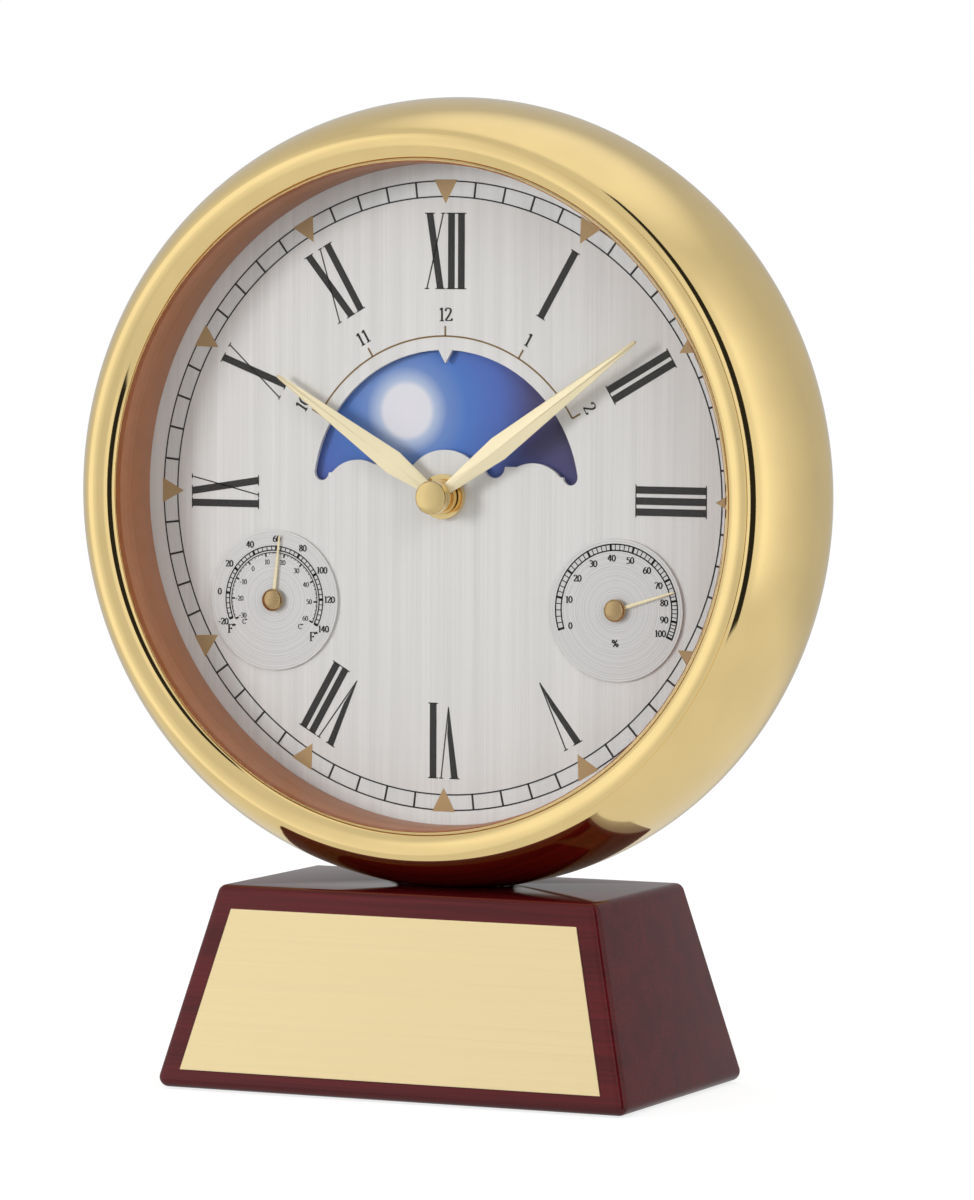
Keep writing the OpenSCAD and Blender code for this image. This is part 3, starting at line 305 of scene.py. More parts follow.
@dataclass(frozen=True)
class BrushedMetal(Finish):
    """Metal brushed one way: long streaks of the brush's bristles, light and dark, fine and coarse."""

    streak_mm: float = 0.35
    length_mm: float = 60.0
    along: str = "Z"
    contrast: float = 0.05
    bump: float = 0.05

    def dress(self, shader: Any) -> None:
        """Adds two sizes of streaks to the colour, and the fine ones to the relief."""
        tree = shader.id_data
        where = place(tree)
        across, length = 1 / self.streak_mm, 1 / self.length_mm
        scale = Vector((length, across, across) if self.along == "X" else (across, across, length))
        streak = noise(tree, stretched(tree, where, scale), 1.0, 2.0)
        broad = stretched(tree, where, scale * 0.14, (3.1 * MM, 1.7 * MM, 5.3 * MM))
        bands = noise(tree, broad, 1.0, 3.0)
        half = number(tree, "MULTIPLY", number(tree, "ADD", streak, bands), 0.5)
        self.shade(shader, half, [(0.38, 1 - 2 * self.contrast), (0.62, 1 + self.contrast)])
        self.relief(shader, streak, self.bump, 0.03)


@dataclass(frozen=True)
class MouldedPlastic(Finish):
    """Injection-moulded plastic or thick ink: a fine grain that breaks up the sheen."""

    grain_mm: float = 0.25
    bump: float = 0.15

    def dress(self, shader: Any) -> None:
        """Adds the grain as relief and a slow change of sheen."""
        tree = shader.id_data
        self.uneven(shader, 7.0, 0.05)
        self.relief(shader, noise(tree, place(tree), self.grain_mm, 2.0), self.bump, 0.05)


@dataclass(frozen=True)
class LacqueredCherry(Finish):
    """Wood stained dark cherry under thick gloss lacquer: faint grain under a clear mirror."""

    grain_mm: float = 0.7
    length_mm: float = 45.0
    coat: float = 0.65

    def dress(self, shader: Any) -> None:
        """Adds long pores and growth bands in the stain, and the clear coat."""
        tree = shader.id_data
        where = place(tree)
        scale = Vector((1 / self.length_mm, 1 / self.grain_mm, 1 / self.grain_mm))
        pores = noise(tree, stretched(tree, where, scale), 1.0, 4.0)
        bands = noise(tree, stretched(tree, where, scale * 0.1), 1.0, 3.0, 0.6)
        self.shade(shader, number(tree, "MULTIPLY", pores, bands), [(0.14, 0.7), (0.36, 1.2)])
        shader.inputs["Specular IOR Level"].default_value = 0.0
        shader.inputs["Coat Weight"].default_value = self.coat
        shader.inputs["Coat Roughness"].default_value = 0.06
        shader.inputs["Coat IOR"].default_value = 1.5


@dataclass(frozen=True)
class WoolFelt(Finish):
    """Pressed wool felt: short fibres lying every way, with a soft sheen."""

    fibre_mm: float = 0.5

    def dress(self, shader: Any) -> None:
        """Adds fibres to the colour and the relief."""
        tree = shader.id_data
        fibre = noise(tree, place(tree), self.fibre_mm, 5.0, 1.2)
        self.shade(shader, fibre, [(0.3, 0.6), (0.7, 1.0)])
        self.relief(shader, fibre, 0.6, 0.3)
        shader.inputs["Sheen Weight"].default_value = 0.4


@dataclass(frozen=True)
class ClearGlass(Finish):
    """Flat mineral glass, coated against reflections: a clear pane with only the weakest sheen."""

    cover: float = 0.06

    def dress(self, shader: Any) -> None:
        """Lets nearly all light straight through, and keeps the sheen."""
        shader.inputs["Alpha"].default_value = self.cover
        shader.inputs["IOR"].default_value = 1.46


@dataclass(frozen=True)
class TurnedFace(Finish):
    """Silvered metal turned on a lathe: fine rings around the small dial's middle."""

    centre_x: float = 0.0
    centre_z: float = 0.0
    ring_mm: float = 0.28

    def dress(self, shader: Any) -> None:
        """Adds rings, which are noise of the distance from the middle."""
        tree = shader.id_data
        radius = away(tree, self.centre_x, self.centre_z)
        links = {"W": radius, "Scale": 1 / (self.ring_mm * MM), "Detail": 2.0}
        rings = add_node(tree, "ShaderNodeTexNoise", links, noise_dimensions="1D").outputs["Fac"]
        self.shade(shader, rings, [(0.35, 0.86), (0.65, 1.06)])
        self.relief(shader, rings, 0.25, 0.04)


@dataclass(frozen=True)
class DialSilver(BrushedMetal):
    """Silvered dial brushed from top to bottom, with painted light that makes it brighter and cooler from the
    minute track outwards.
    """

    # Painted light: from the minute track outwards the colour is raised and cooled. This lifts the shade that
    # the rim's wall casts on the dial's edge and cancels the warm light that the brown spacer bounces onto
    # it.
    fade: Pair = (60.0, 72.0)
    levels: Sequence[Pair] = (
        (0.0, 1.0), (0.3, 1.0), (0.37, 1.05), (0.61, 1.07), (0.64, 1.16), (1.0, 1.14)
    )

    def dress(self, shader: Any) -> None:
        """Adds the brushing, and multiplies it by a painted light level that follows the distance from the
        hands' axis.
        """
        tree = shader.id_data
        super().dress(shader)
        brushed = shader.inputs["Base Color"].links[0].from_socket
        # painted light: brighter, cooler rings by distance from the hands' axis, from the minute track
        # outwards
        part = spread(tree, away(tree, 0.0, DIAL_Z), self.fade[0] * MM, self.fade[1] * MM)
        stops = [
            (at, (v * 0.96, v * 1.01, v * 1.02, 1.0) if v > 1 else (1.0, v * 1.01, 1.0, 1.0))
            for at, v in self.levels
        ]
        mix = add_node(tree, "ShaderNodeMix", data_type="RGBA", blend_type="MULTIPLY")
        mix.inputs[0].default_value = 1.0
        tree.links.new(brushed, mix.inputs[6])
        tree.links.new(ramp(tree, part, stops), mix.inputs[7])
        tree.links.new(mix.outputs[2], shader.inputs["Base Color"])


@dataclass(frozen=True)
class MoonSky(Finish):
    """Printed night sky: two pale moons opposite each other, a glow around each, dark blue farther out."""

    moon_x: float = -9.75
    moon_y: float = 18.2
    reach: float = 40.0
    colours: Sequence[tuple[float, str]] = (
        (0.0, "DAD8DE"), (5.52, "D6D6DE"), (6.64, "A9B7D2"), (9.6, "6583BC"),
        (14.4, "4770B8"), (22.4, "4862AC"), (29.6, "433F6C"), (40.0, "3E384C"),
    )

    def dress(self, shader: Any) -> None:
        """Paints the sky by the distance in millimetres from the nearer moon's middle."""
        tree = shader.id_data
        shines = [
            spread(tree, away(tree, side * self.moon_x, DIAL_Z + side * self.moon_y), 0.0, self.reach * MM)
            for side in (1, -1)
        ]
        stops = [(at / self.reach, srgb(colour)) for at, colour in self.colours]
        tree.links.new(ramp(tree, number(tree, "MINIMUM", *shines), stops), shader.inputs["Base Color"])


@dataclass(frozen=True)
class Palette:
    """Every finish of the clock."""

    gold: Finish = PlatedGold("gold_plate_polished", "FBDF9E", 0.07, 1.0)
    cap_gold: Finish = PlatedGold("gold_plate_matt", "D2B483", 0.2, 1.0, 2.0)
    hand_gold: Finish = PlatedGold("gold_plate_satin", "FAEDC6", 0.32, 0.4)
    plate: Finish = BrushedMetal("engraving_brass", "F3DEAC", 0.34, 0.85, 0.22, 90.0, "X", 0.012, 0.02)
    wood: Finish = LacqueredCherry("cherry_lacquered", "4E0E12", 0.35)
    felt: Finish = WoolFelt("felt_pressed", "1D3526", 0.95)
    # the dial's finish carries painted light, brighter and cooler from the minute track outwards
    dial: Finish = DialSilver("dial_brushed_silver", "DAD8D7", 0.42, 0.15, 0.3, 45.0, "Z", 0.035, 0.04)
    spacer: Finish = BrushedMetal("spacer_brown_lacquer", "A8704C", 0.45, 0.0, 0.5, 30.0, "X", 0.04, 0.03)
    rust: Finish = MouldedPlastic("liner_rust_lacquer", "93501F", 0.4)
    glass: Finish = ClearGlass("glass_mineral", "2A2E30", 0.0)
    ink: Finish = MouldedPlastic("print_black_ink", "2B2A29", 0.55)
    ink_fine: Finish = MouldedPlastic("print_deep_black_ink", "141413", 0.6)
    ink_gold: Finish = MouldedPlastic("print_gold_ink", "AE9268", 0.5)
    ink_brown: Finish = MouldedPlastic("print_brown_ink", "7A5F35", 0.5)
    sky: Finish = MoonSky("moon_sky_print", "3A57A6", 0.45)
    steel: Finish = BrushedMetal("steel_zinc_plated", "C9C8C4", 0.32, 1.0, 0.3, 4.0, "X", 0.05, 0.05)
    brass: Finish = BrushedMetal("brass_turned", "C9A765", 0.3, 1.0, 0.2, 3.0, "X", 0.06, 0.05)
    copper: Finish = BrushedMetal("copper_enamelled", "B5653C", 0.35, 0.8, 0.15, 8.0, "Z", 0.15, 0.2)
    bimetal: Finish = BrushedMetal("bimetal_strip", "B98B58", 0.35, 1.0, 0.3, 5.0, "Z", 0.08, 0.05)
    acetal: Finish = MouldedPlastic("acetal_white", "E9E7DF", 0.42, 0.0, 0.2, 0.06)
    black_abs: Finish = MouldedPlastic("abs_black", "17181A", 0.45)
    grey_abs: Finish = MouldedPlastic("abs_grey", "4A4C4F", 0.45)
    knob_abs: Finish = MouldedPlastic("knob_grey", "8A8C8E", 0.4)
    cover_abs: Finish = MouldedPlastic("cover_black_grained", "1D1E20", 0.5, 0.0, 0.6, 0.35)
    board: Finish = MouldedPlastic("circuit_board_green", "12472A", 0.4, 0.0, 1.5, 0.1)
    sleeve: Finish = MouldedPlastic("cell_sleeve_blue", "2B4C7E", 0.28, 0.0, 3.0, 0.03)


PALETTE = Palette()


# Shapes


def head_to_row(points: np.ndarray, axis: Axis = Axis.DIAL) -> np.ndarray:
    """Takes points from the head's frame to the object's: (x, y, z) becomes (x, DIAL_Y - z, axis + y).

    Args:
        points: array whose last axis is x, y, z in millimetres.
        axis: the line that y is counted from.

    Returns:
        An array of the same shape, in metres.
    """
    return np.stack([points[..., 0], DIAL_Y - points[..., 2], axis.value + points[..., 1]], axis=-1) * MM


def fill_mesh(name: str, points: np.ndarray, faces: Iterable[Sequence[int]], smooth_angle: float) -> Any:
    """Makes a mesh, merges what lies on one point, and turns all its faces outwards.

    Args:
        name: the mesh's name, which its piece takes over.
        points: vertices in metres, one a row.
        faces: vertex numbers of each face.
        smooth_angle: edges sharper than this many degrees stay sharp; 0 leaves every face flat.

    Returns:
        The mesh.
    """
    mesh = bpy.data.meshes.new(name)
    mesh.from_pydata(points.reshape(-1, 3).tolist(), [], [list(f) for f in faces])
    work = bmesh.new()
    work.from_mesh(mesh)
    bmesh.ops.remove_doubles(work, verts=work.verts, dist=1e-7)
    bmesh.ops.dissolve_degenerate(work, edges=work.edges, dist=1e-8)
    bmesh.ops.recalc_face_normals(work, faces=work.faces)
    work.to_mesh(mesh)
    work.free()
    if smooth_angle:
        mesh.shade_smooth()
        mesh.set_sharp_from_angle(angle=math.radians(smooth_angle))
    mesh.update()
    return mesh


def grid_faces(rows: int, columns: int, close_rows: bool, close_columns: bool) -> np.ndarray:
    """Faces of a grid of points: each joins a point, the next in its row, and the two below them.

    Args:
        rows: rows of the grid.
        columns: points in a row.
        close_rows: join the last row to the first.
        close_columns: join the last point of a row to its first.

    Returns:
        Four vertex numbers a face.
    """
    r = np.arange(rows if close_rows else rows - 1)
    c = np.arange(columns if close_columns else columns - 1)
    rr, cc = np.meshgrid(r, c, indexing="ij")
    r2, c2 = (rr + 1) % rows, (cc + 1) % columns
    return np.stack(
        [rr * columns + cc, rr * columns + c2, r2 * columns + c2, r2 * columns + cc], axis=-1
    ).reshape(-1, 4)


def arc(centre: Numbers, radius: Any, start: float, end: float, steps: int) -> Loop:
    """Points on an arc or on a quarter of an ellipse: centre + radius * (cos a, sin a).

    Args:
        centre: its middle.
        radius: one radius, or two half axes.
        start: first angle in degrees.
        end: last angle in degrees.
        steps: how many points.

    Returns:
        The points, one a row.
    """
    a = np.radians(np.linspace(start, end, steps))
    return np.asarray(centre) + np.stack([np.cos(a), np.sin(a)], axis=-1) * np.asarray(radius)


def rounded(corners: Sequence[Numbers], radii: Numbers, steps: int = 6) -> Loop:
    """A closed outline with rounded corners: each corner is an arc that touches both of its sides.

    Args:
        corners: the sharp corners in order.
        radii: a radius a corner, 0 for a sharp one.
        steps: points on each arc.

    Returns:
        The outline's points.
    """
    points = np.asarray(corners, float)
    made = []
    for i, radius in enumerate(radii):
        here, before, after = points[i], points[i - 1], points[(i + 1) % len(points)]
        if radius <= 0:
            made.append(here[None])
            continue
        a, b = (before - here) / np.linalg.norm(before - here), (after - here) / np.linalg.norm(after - here)
        half = math.acos(float(np.clip(a @ b, -1, 1))) / 2
        middle = here + (a + b) / np.linalg.norm(a + b) * radius / math.sin(half)
        first, last = here + a * radius / math.tan(half) - middle, here + b * radius / math.tan(half) - middle
        t = np.linspace(0, 1, steps)[:, None]
        turn = math.acos(float(np.clip(first @ last / radius**2, -1, 1)))
        swing = (np.sin((1 - t) * turn) * first + np.sin(t * turn) * last) / math.sin(turn)
        made.append(middle + swing)
    return np.concatenate(made)


def lathe(name: str, outline: Loop, axis: Axis, centre: Numbers = (0, 0), around: int = 256) -> Any:
    """Turns a closed outline of (radius, z) points about a line through centre: x = r cos t, y = r sin t.

    Args:
        name: the mesh's name.
        outline: radius and z of each point, a closed loop.
        axis: the line that the head's height is counted from.
        centre: x and y of the line in the head's frame.
        around: steps around the line.

    Returns:
        The mesh.
    """
    t = np.linspace(0, 2 * np.pi, around, endpoint=False)[:, None]
    r, z = outline[:, 0][None], outline[:, 1][None]
    grid = np.stack([centre[0] + r * np.cos(t), centre[1] + r * np.sin(t), z + 0 * t], axis=-1)
    faces = grid_faces(around, len(outline), True, True)
    return fill_mesh(name, head_to_row(grid, axis), faces, 35)


def loft(name: str, sections: np.ndarray, smooth_angle: float = 0) -> Any:
    """Joins closed cross-sections of equal point count into a skin, and closes its two ends.

    Args:
        name: the mesh's name.
        sections: section, point, and x, y, z in metres.
        smooth_angle: see fill_mesh.

    Returns:
        The mesh.
    """
    rows, columns = sections.shape[:2]
    faces = grid_faces(rows, columns, False, True).tolist()
    faces.append(list(range(columns)))
    faces.append([(rows - 1) * columns + i for i in range(columns)][::-1])
    return fill_mesh(name, sections, faces, smooth_angle)


def slab(name: str, loops: Sequence[Loop], low: float, high: float) -> Any:
    """Raises flat outlines between two heights: each gets a top, a bottom and walls.

    Args:
        name: the mesh's name.
        loops: outlines in the head's x and y.
        low: z of the bottoms.
        high: z of the tops.

    Returns:
        The mesh.
    """
    points, faces, start = [], [], 0
    for loop in loops:
        n = len(loop)
        for z in (low, high):
            points.append(np.column_stack([loop, np.full(n, z)]))
        faces.extend((grid_faces(2, n, False, True) + start).tolist())
        faces.append(list(range(start, start + n)))
        faces.append(list(range(start + n, start + 2 * n))[::-1])
        start += 2 * n
    return fill_mesh(name, head_to_row(np.concatenate(points)), faces, 0)


def add_piece(mesh: Any, finish: Finish, stands_for: str = "", body: str = "clock_body") -> Any:
    """Puts a mesh into the scene as a piece of the clock with the mesh's name.

    Args:
        mesh: the mesh, in place.
        finish: its finish.
        stands_for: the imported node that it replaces, if any.
        body: the moving body that it rides on.

    Returns:
        The new object.
    """
    piece = bpy.data.objects.new(mesh.name, mesh)
    bpy.context.scene.collection.objects.link(piece)
    mesh.materials.append(finish.make())
    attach(piece, body)
    if stands_for:
        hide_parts(stands_for)
    log.info("%s: %d faces, %s", mesh.name, len(mesh.polygons), finish.name)
    return piece


def dress(finish: Finish, nodes: str) -> None:
    """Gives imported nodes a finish.

    Args:
        finish: the finish.
        nodes: the nodes' names, with spaces between them.
    """
    for node in nodes.split():
        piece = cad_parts[node]
        for held in piece.material_slots:
            held.material = finish.make()
        if not piece.material_slots:
            piece.data.materials.append(finish.make())
        log.info("%s: %s", node, finish.name)


# The case


@dataclass
class Case:
    """The drum, the bezel, the glass and what is stacked behind it."""

    drum_r: float = 85.1
    seam_r: float = 76.9
    seam_z: float = 17.414
    back_r: float = 70.0
    back_z: float = -28.3
    widest_z: float = -6.8
    shoulder: float = 5.4
    shoulder_tilt: Pair = (28.0, 50.0)
    arc_start: float = 30.0
    wall: float = 1.6
    flange_r: float = 75.4
    flange_t: float = 2.4
    back_lip_r: float = 64.4
    back_lip_t: float = 3.0
    lip_r: float = 71.3
    lip_tilt: float = 62.0
    crown_r: float = 75.5
    crown_z: float = 18.2
    crown_round: float = 3.2
    rust_wide: float = 1.5
    rust_drop: float = 0.15
    liner_gap: float = 0.02
    liner_r: Triple = (70.7, 71.02, 71.15)
    seam_gap: float = 0.02
    glass_r: float = 72.8
    glass_z: Pair = (9.4, 11.4)
    spacer_bore: float = 71.0
    skirt_r: float = 75.3
    skirt_z: float = -1.0
    seat_r: float = 72.9
    seat_z: float = 11.7

    def drum_outline(self, inset: float, steps: int = 40) -> Loop:
        """The drum's outer line, or one inset from it.

        It starts at the seam with a shoulder, an arc of a circle whose tilt grows between the two shoulder
        tilts. An arc of an ellipse leads on to the widest place, and another one leads back to the rear edge:
        r = widest - a + (a - inset) sin t and z = widest_z +- (b - inset) cos t, with t up to 90 degrees. In
        front t starts where the ellipse has the shoulder's last tilt, sin t = q / (1 - q) with
        q = tan(tilt) * width / depth, and the half axes a and b make the arcs meet at their ends.

        Args:
            inset: how far inside the outer line.
            steps: points on each arc.

        Returns:
            Radius and z from the front seam to the rear edge.
        """
        first, last = (90 - tilt for tilt in self.shoulder_tilt)
        pivot = np.array([self.seam_r, self.seam_z]) - arc((0, 0), self.shoulder, first, first, 1)[0]
        end = arc(pivot, self.shoulder, last, last, 1)[0]
        q = (self.drum_r - end[0]) / (end[1] - self.widest_z) / math.tan(math.radians(last))
        lines = [arc(pivot, self.shoulder - inset, first, last, 12)]
        for (r, z), start, way in (
            (end, math.asin(q / (1 - q)), 1),
            ((self.back_r, self.back_z), math.radians(self.arc_start), -1),
        ):
            wide = (self.drum_r - r) / (1 - math.sin(start))
            deep = abs(z - self.widest_z) / math.cos(start)
            t = np.linspace(start, math.pi / 2, steps)[::way]
            r_line = self.drum_r - wide + (wide - inset) * np.sin(t)
            lines.append(np.stack([r_line, self.widest_z + way * (deep - inset) * np.cos(t)], -1)[1:])
        return np.concatenate(lines)

    def drum(self) -> Any:
        """Builds the drum's wall with its front flange and rear lip."""
        outer = self.drum_outline(0.0)
        inner = self.drum_outline(self.wall)[::-1]
        lip_z, flange_z = self.back_z + self.back_lip_t, self.seam_z - self.flange_t
        inner = inner[(inner[:, 1] > lip_z) & (inner[:, 1] < flange_z)]
        lip = [(self.back_lip_r, self.back_z), (self.back_lip_r, lip_z)]
        flange = [(self.flange_r, self.seam_z)], [(self.flange_r, flange_z)]
        return lathe("drum", np.concatenate([flange[0], outer, lip, inner, flange[1]]), Axis.CASE, around=384)

    def bezel(self) -> Any:
        """Builds the rim: a wall up from the glass, a wide inner arc, a narrow outer arc, and the skirt.

        The inner arc leaves the crown level and reaches the wall at lip_tilt, so its radius is
        (crown - lip) / sin(lip_tilt).
        """
        inner = (self.crown_r - self.lip_r) / math.sin(math.radians(self.lip_tilt))
        tilt = math.degrees(math.asin((self.seam_r - self.crown_r) / self.crown_round))
        sides = [
            arc((self.crown_r, self.crown_z - size), size, 90 + start, 90 - end, 28)
            for size, start, end in ((inner, self.lip_tilt, 0), (self.crown_round, 0, tilt))
        ]
        seam, foot, seat = self.seam_z + self.seam_gap, self.skirt_z, self.seat_z
        skirt = [(self.seam_r, seam), (self.skirt_r, seam), (self.skirt_r, foot)]
        skirt += [(self.seat_r, foot), (self.seat_r, seat), (self.lip_r, seat)]
        return lathe("bezel", np.concatenate([sides[0][:-1], sides[1], skirt]), Axis.CASE, around=384)

    def liner(self, name: str, low: float, high: float, low_r: float, high_r: float) -> Any:
        """Builds a coloured band on the bezel's wall between two heights, with its inner radius at each."""
        wall = self.lip_r - self.liner_gap
        return lathe(name, np.array([(low_r, low), (wall, low), (wall, high), (high_r, high)]), Axis.CASE)

    def glass(self) -> Any:
        """Builds the glass: a disc with ground edges."""
        low, high = self.glass_z
        corners = [(0, low), (self.glass_r, low), (self.glass_r, high), (0, high)]
        return lathe("glass", rounded(corners, [0, 0.25, 0.25, 0], 4), Axis.CASE, around=192)

    def spacer(self) -> Any:
        """Builds the brown ring between glass and dial, with rounded inner edges."""
        high, bore = self.glass_z[0], self.spacer_bore
        corners = [(self.glass_r, 0), (self.glass_r, high), (bore, high), (bore, 0)]
        return lathe("spacer", rounded(corners, [0, 0, 0.2, 0.2], 4), Axis.CASE)

    def build(self) -> None:
        """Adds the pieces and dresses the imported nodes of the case."""
        add_piece(self.drum(), PALETTE.gold, "case_shell")
        add_piece(self.bezel(), PALETTE.gold, "front_bezel")
        add_piece(self.glass(), PALETTE.glass, "glass_lens").visible_shadow = False
        add_piece(self.spacer(), PALETTE.spacer, "spacer_ring")
        slope = math.tan(math.radians(self.lip_tilt) / 2)
        top = self.crown_z - (self.crown_r - self.lip_r) * slope - self.rust_drop
        split, low = top - self.rust_wide, self.glass_z[0] + self.liner_gap
        low_r, split_r, top_r = self.liner_r
        add_piece(self.liner("liner_line", split, top, split_r, top_r), PALETTE.rust)
        add_piece(self.liner("liner_wall", low, split, low_r, split_r), PALETTE.spacer)
        dress(PALETTE.spacer, "glass_seal")
        dress(PALETTE.acetal, "dial_carrier")
        dress(PALETTE.cover_abs, "back_cover")
        dress(PALETTE.steel, "case_clamps clamp_screws back_cover_screws")


# The plinth


@dataclass
class Plinth:
    """The sloped block with its felt, its brass plate and the screws that hold the drum."""

    top_half: Pair = (42.7, 22.55)
    foot_half: Pair = (52.6, 30.7)
    top_z: float = 41.7
    foot_z: float = 2.5
    edge: float = 2.1
    play: float = 0.06
    steps: int = 9

    def block(self) -> Any:
        """Builds the skin around eight balls at the corners of a truncated pyramid.

        A point is its corner ball's middle plus the edge radius times a direction. The direction goes around
        in azimuth and from the zenith down. Between the upper and the lower ball it changes over at the tilt
        of the side that it meets, which turns smoothly from one side's tilt to the next around each corner.
        """
        rise = self.top_z - self.foot_z
        tilt_x, tilt_y = (math.atan2(foot - top, rise) for top, foot in zip(self.top_half, self.foot_half))
        quarter = np.linspace(0, np.pi / 2, self.steps)
        azimuth = np.concatenate([quarter + k * np.pi / 2 for k in range(4)])
        sign_x = np.repeat([1, -1, -1, 1], self.steps)
        sign_y = np.repeat([1, 1, -1, -1], self.steps)
        tilt = tilt_x * np.cos(azimuth) ** 2 + tilt_y * np.sin(azimuth) ** 2
        t = np.linspace(0, 1, self.steps)[:, None]
        upper = np.pi / 2 + (tilt[None] - np.pi / 2) * t
        lower = tilt[None] + (-np.pi / 2 - tilt[None]) * t
        height = np.concatenate([upper, lower])
        pairs = zip((*self.top_half, self.top_z), (*self.foot_half, self.foot_z))
        half_x, half_y, mid_z = (np.repeat(pair, self.steps)[:, None] for pair in pairs)
        x = half_x * sign_x + self.edge * np.cos(height) * np.cos(azimuth)
        y = half_y * sign_y + self.edge * np.cos(height) * np.sin(azimuth)
        z = mid_z + self.edge * np.sin(height)
        return loft("plinth", np.stack([x, y, z], axis=-1) * MM, 20)

    def build(self, drum: Loop) -> None:
        """Adds the block with the drum's scoop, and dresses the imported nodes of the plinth.

        Args:
            drum: the drum's outer line, whose shape the scoop follows.
        """
        block = add_piece(self.block(), PALETTE.wood, "plinth_block")
        grown = np.concatenate([[[0, drum[0, 1]]], drum + [self.play, 0], [[0, drum[-1, 1]]]])
        cutter = bpy.data.objects.new("scoop", lathe("scoop", grown, Axis.CASE))
        bpy.context.scene.collection.objects.link(cutter)
        cut = block.modifiers.new("scoop", "BOOLEAN")
        cut.object, cut.operation, cut.solver = cutter, "DIFFERENCE", "EXACT"
        done = bpy.data.meshes.new_from_object(block.evaluated_get(bpy.context.evaluated_depsgraph_get()))
        block.modifiers.clear()
        block.data = done
        done.materials.clear()
        done.materials.append(PALETTE.wood.make())
        bpy.data.objects.remove(cutter)
        dress(PALETTE.felt, "felt_pad")
        dress(PALETTE.plate, "engraving_plate")
        dress(PALETTE.steel, "base_screws base_washers nut_plate")


# Printing


def turned(points: Loop, degrees: float, out: float = 0.0) -> Loop:
    """Moves points out along y and turns them clockwise about the origin.

    Args:
        points: x and y.
        degrees: clockwise turn.
        out: added to y before the turn.

    Returns:
        The moved points.
    """
    a = math.radians(-degrees)
    turn = np.array([[math.cos(a), math.sin(a)], [-math.sin(a), math.cos(a)]])
    return (points + [0, out]) @ turn


def bar(start: Numbers, end: Numbers, width: float) -> Loop:
    """A straight stroke: a rectangle along a line.

    Args:
        start: x and y of the line's first end.
        end: of its last end.
        width: the rectangle's width.

    Returns:
        The four corners.
    """
    a, b = np.asarray(start, float), np.asarray(end, float)
    side = np.array([-(b - a)[1], (b - a)[0]]) / np.linalg.norm(b - a) * width / 2
    return np.array([a + side, b + side, b - side, a - side])


def band(radius: float, width: float, start: float, end: float, steps: int = 24) -> Loop:
    """A stroke along an arc, with angles clockwise from the top.

    Args:
        radius: the arc's radius.
        width: the stroke's width.
        start: first angle in degrees.
        end: last angle in degrees.
        steps: points on each side.

    Returns:
        The outline's points.
    """
    outer = arc((0, 0), radius + width / 2, 90 - start, 90 - end, steps)
    inner = arc((0, 0), radius - width / 2, 90 - end, 90 - start, steps)
    return np.concatenate([outer, inner])


def ticks(low: float, high: float, angles: Iterable[float], width: float) -> list[Loop]:
    """Straight ticks between two radii."""
    return [turned(bar((0, low), (0, high), width), a) for a in angles]


@dataclass
class RomanNumerals:
    """Tall numerals with thick and hairline strokes that stand on the ring with their tops outwards."""

    inner_r: float = 44.5
    outer_r: float = 60.6
    thick: float = 1.58
    hair: float = 0.28
    gap: float = 0.76
    wide_gap: float = 1.0
    serif: float = 0.38
    cross: float = 4.1

    def glyph(self, letter: str) -> tuple[list[Loop], float]:
        """Strokes of a letter with its left side at x = 0 and its foot at y = 0.

        Args:
            letter: I, V or X.

        Returns:
            The strokes and the letter's width.
        """
        high = self.outer_r - self.inner_r
        if letter == "I":
            strokes = [np.array([(0, 0), (self.thick, 0), (self.thick, high), (0, high)])]
            ends = [(0, self.thick, 0), (0, self.thick, high)]
            width = self.thick
        elif letter == "X":
            width = self.cross
            strokes = [
                np.array([(0, high), (self.thick, high), (width, 0), (width - self.thick, 0)]),
                bar((width - 0.15, high), (0.15, 0), self.hair),
            ]
            ends = [(0, self.thick, high), (width - 0.3, width, high)]
            ends += [(0, 0.3, 0), (width - self.thick, width, 0)]
        else:
            width = self.cross
            tip = 0.54 * width
            notch = np.array([0.62 * width, 0.4 * high])
            strokes = [
                np.array([(0, high), (self.thick, high), notch, (tip, 0.55)]),
                bar((width - 0.12, high), (tip + 0.05, 0.75), self.hair),
            ]
            ends = [(0, self.thick, high), (width - 0.25, width, high)]
        for left, right, y in ends:
            strokes.append(bar((left - self.serif, y), (right + self.serif, y), 0.24))
        return strokes, width

    def loops(self) -> list[Loop]:
        """Strokes of all ten numerals; four and eight are left free for the small dials."""
        made: list[Loop] = []
        hours = {12: "XII", 1: "I", 2: "II", 3: "III", 5: "V", 6: "VI", 7: "VII", 9: "IX", 10: "X", 11: "XI"}
        for hour, word in hours.items():
            row, x, before = [], 0.0, ""
            for letter in word:
                if before:
                    x += self.gap if before == letter == "I" else self.wide_gap
                strokes, width = self.glyph(letter)
                row += [s + [x, 0] for s in strokes]
                x += width
                before = letter
            made += [turned(s - [x / 2, 0], hour * 30, self.inner_r) for s in row]
        return made


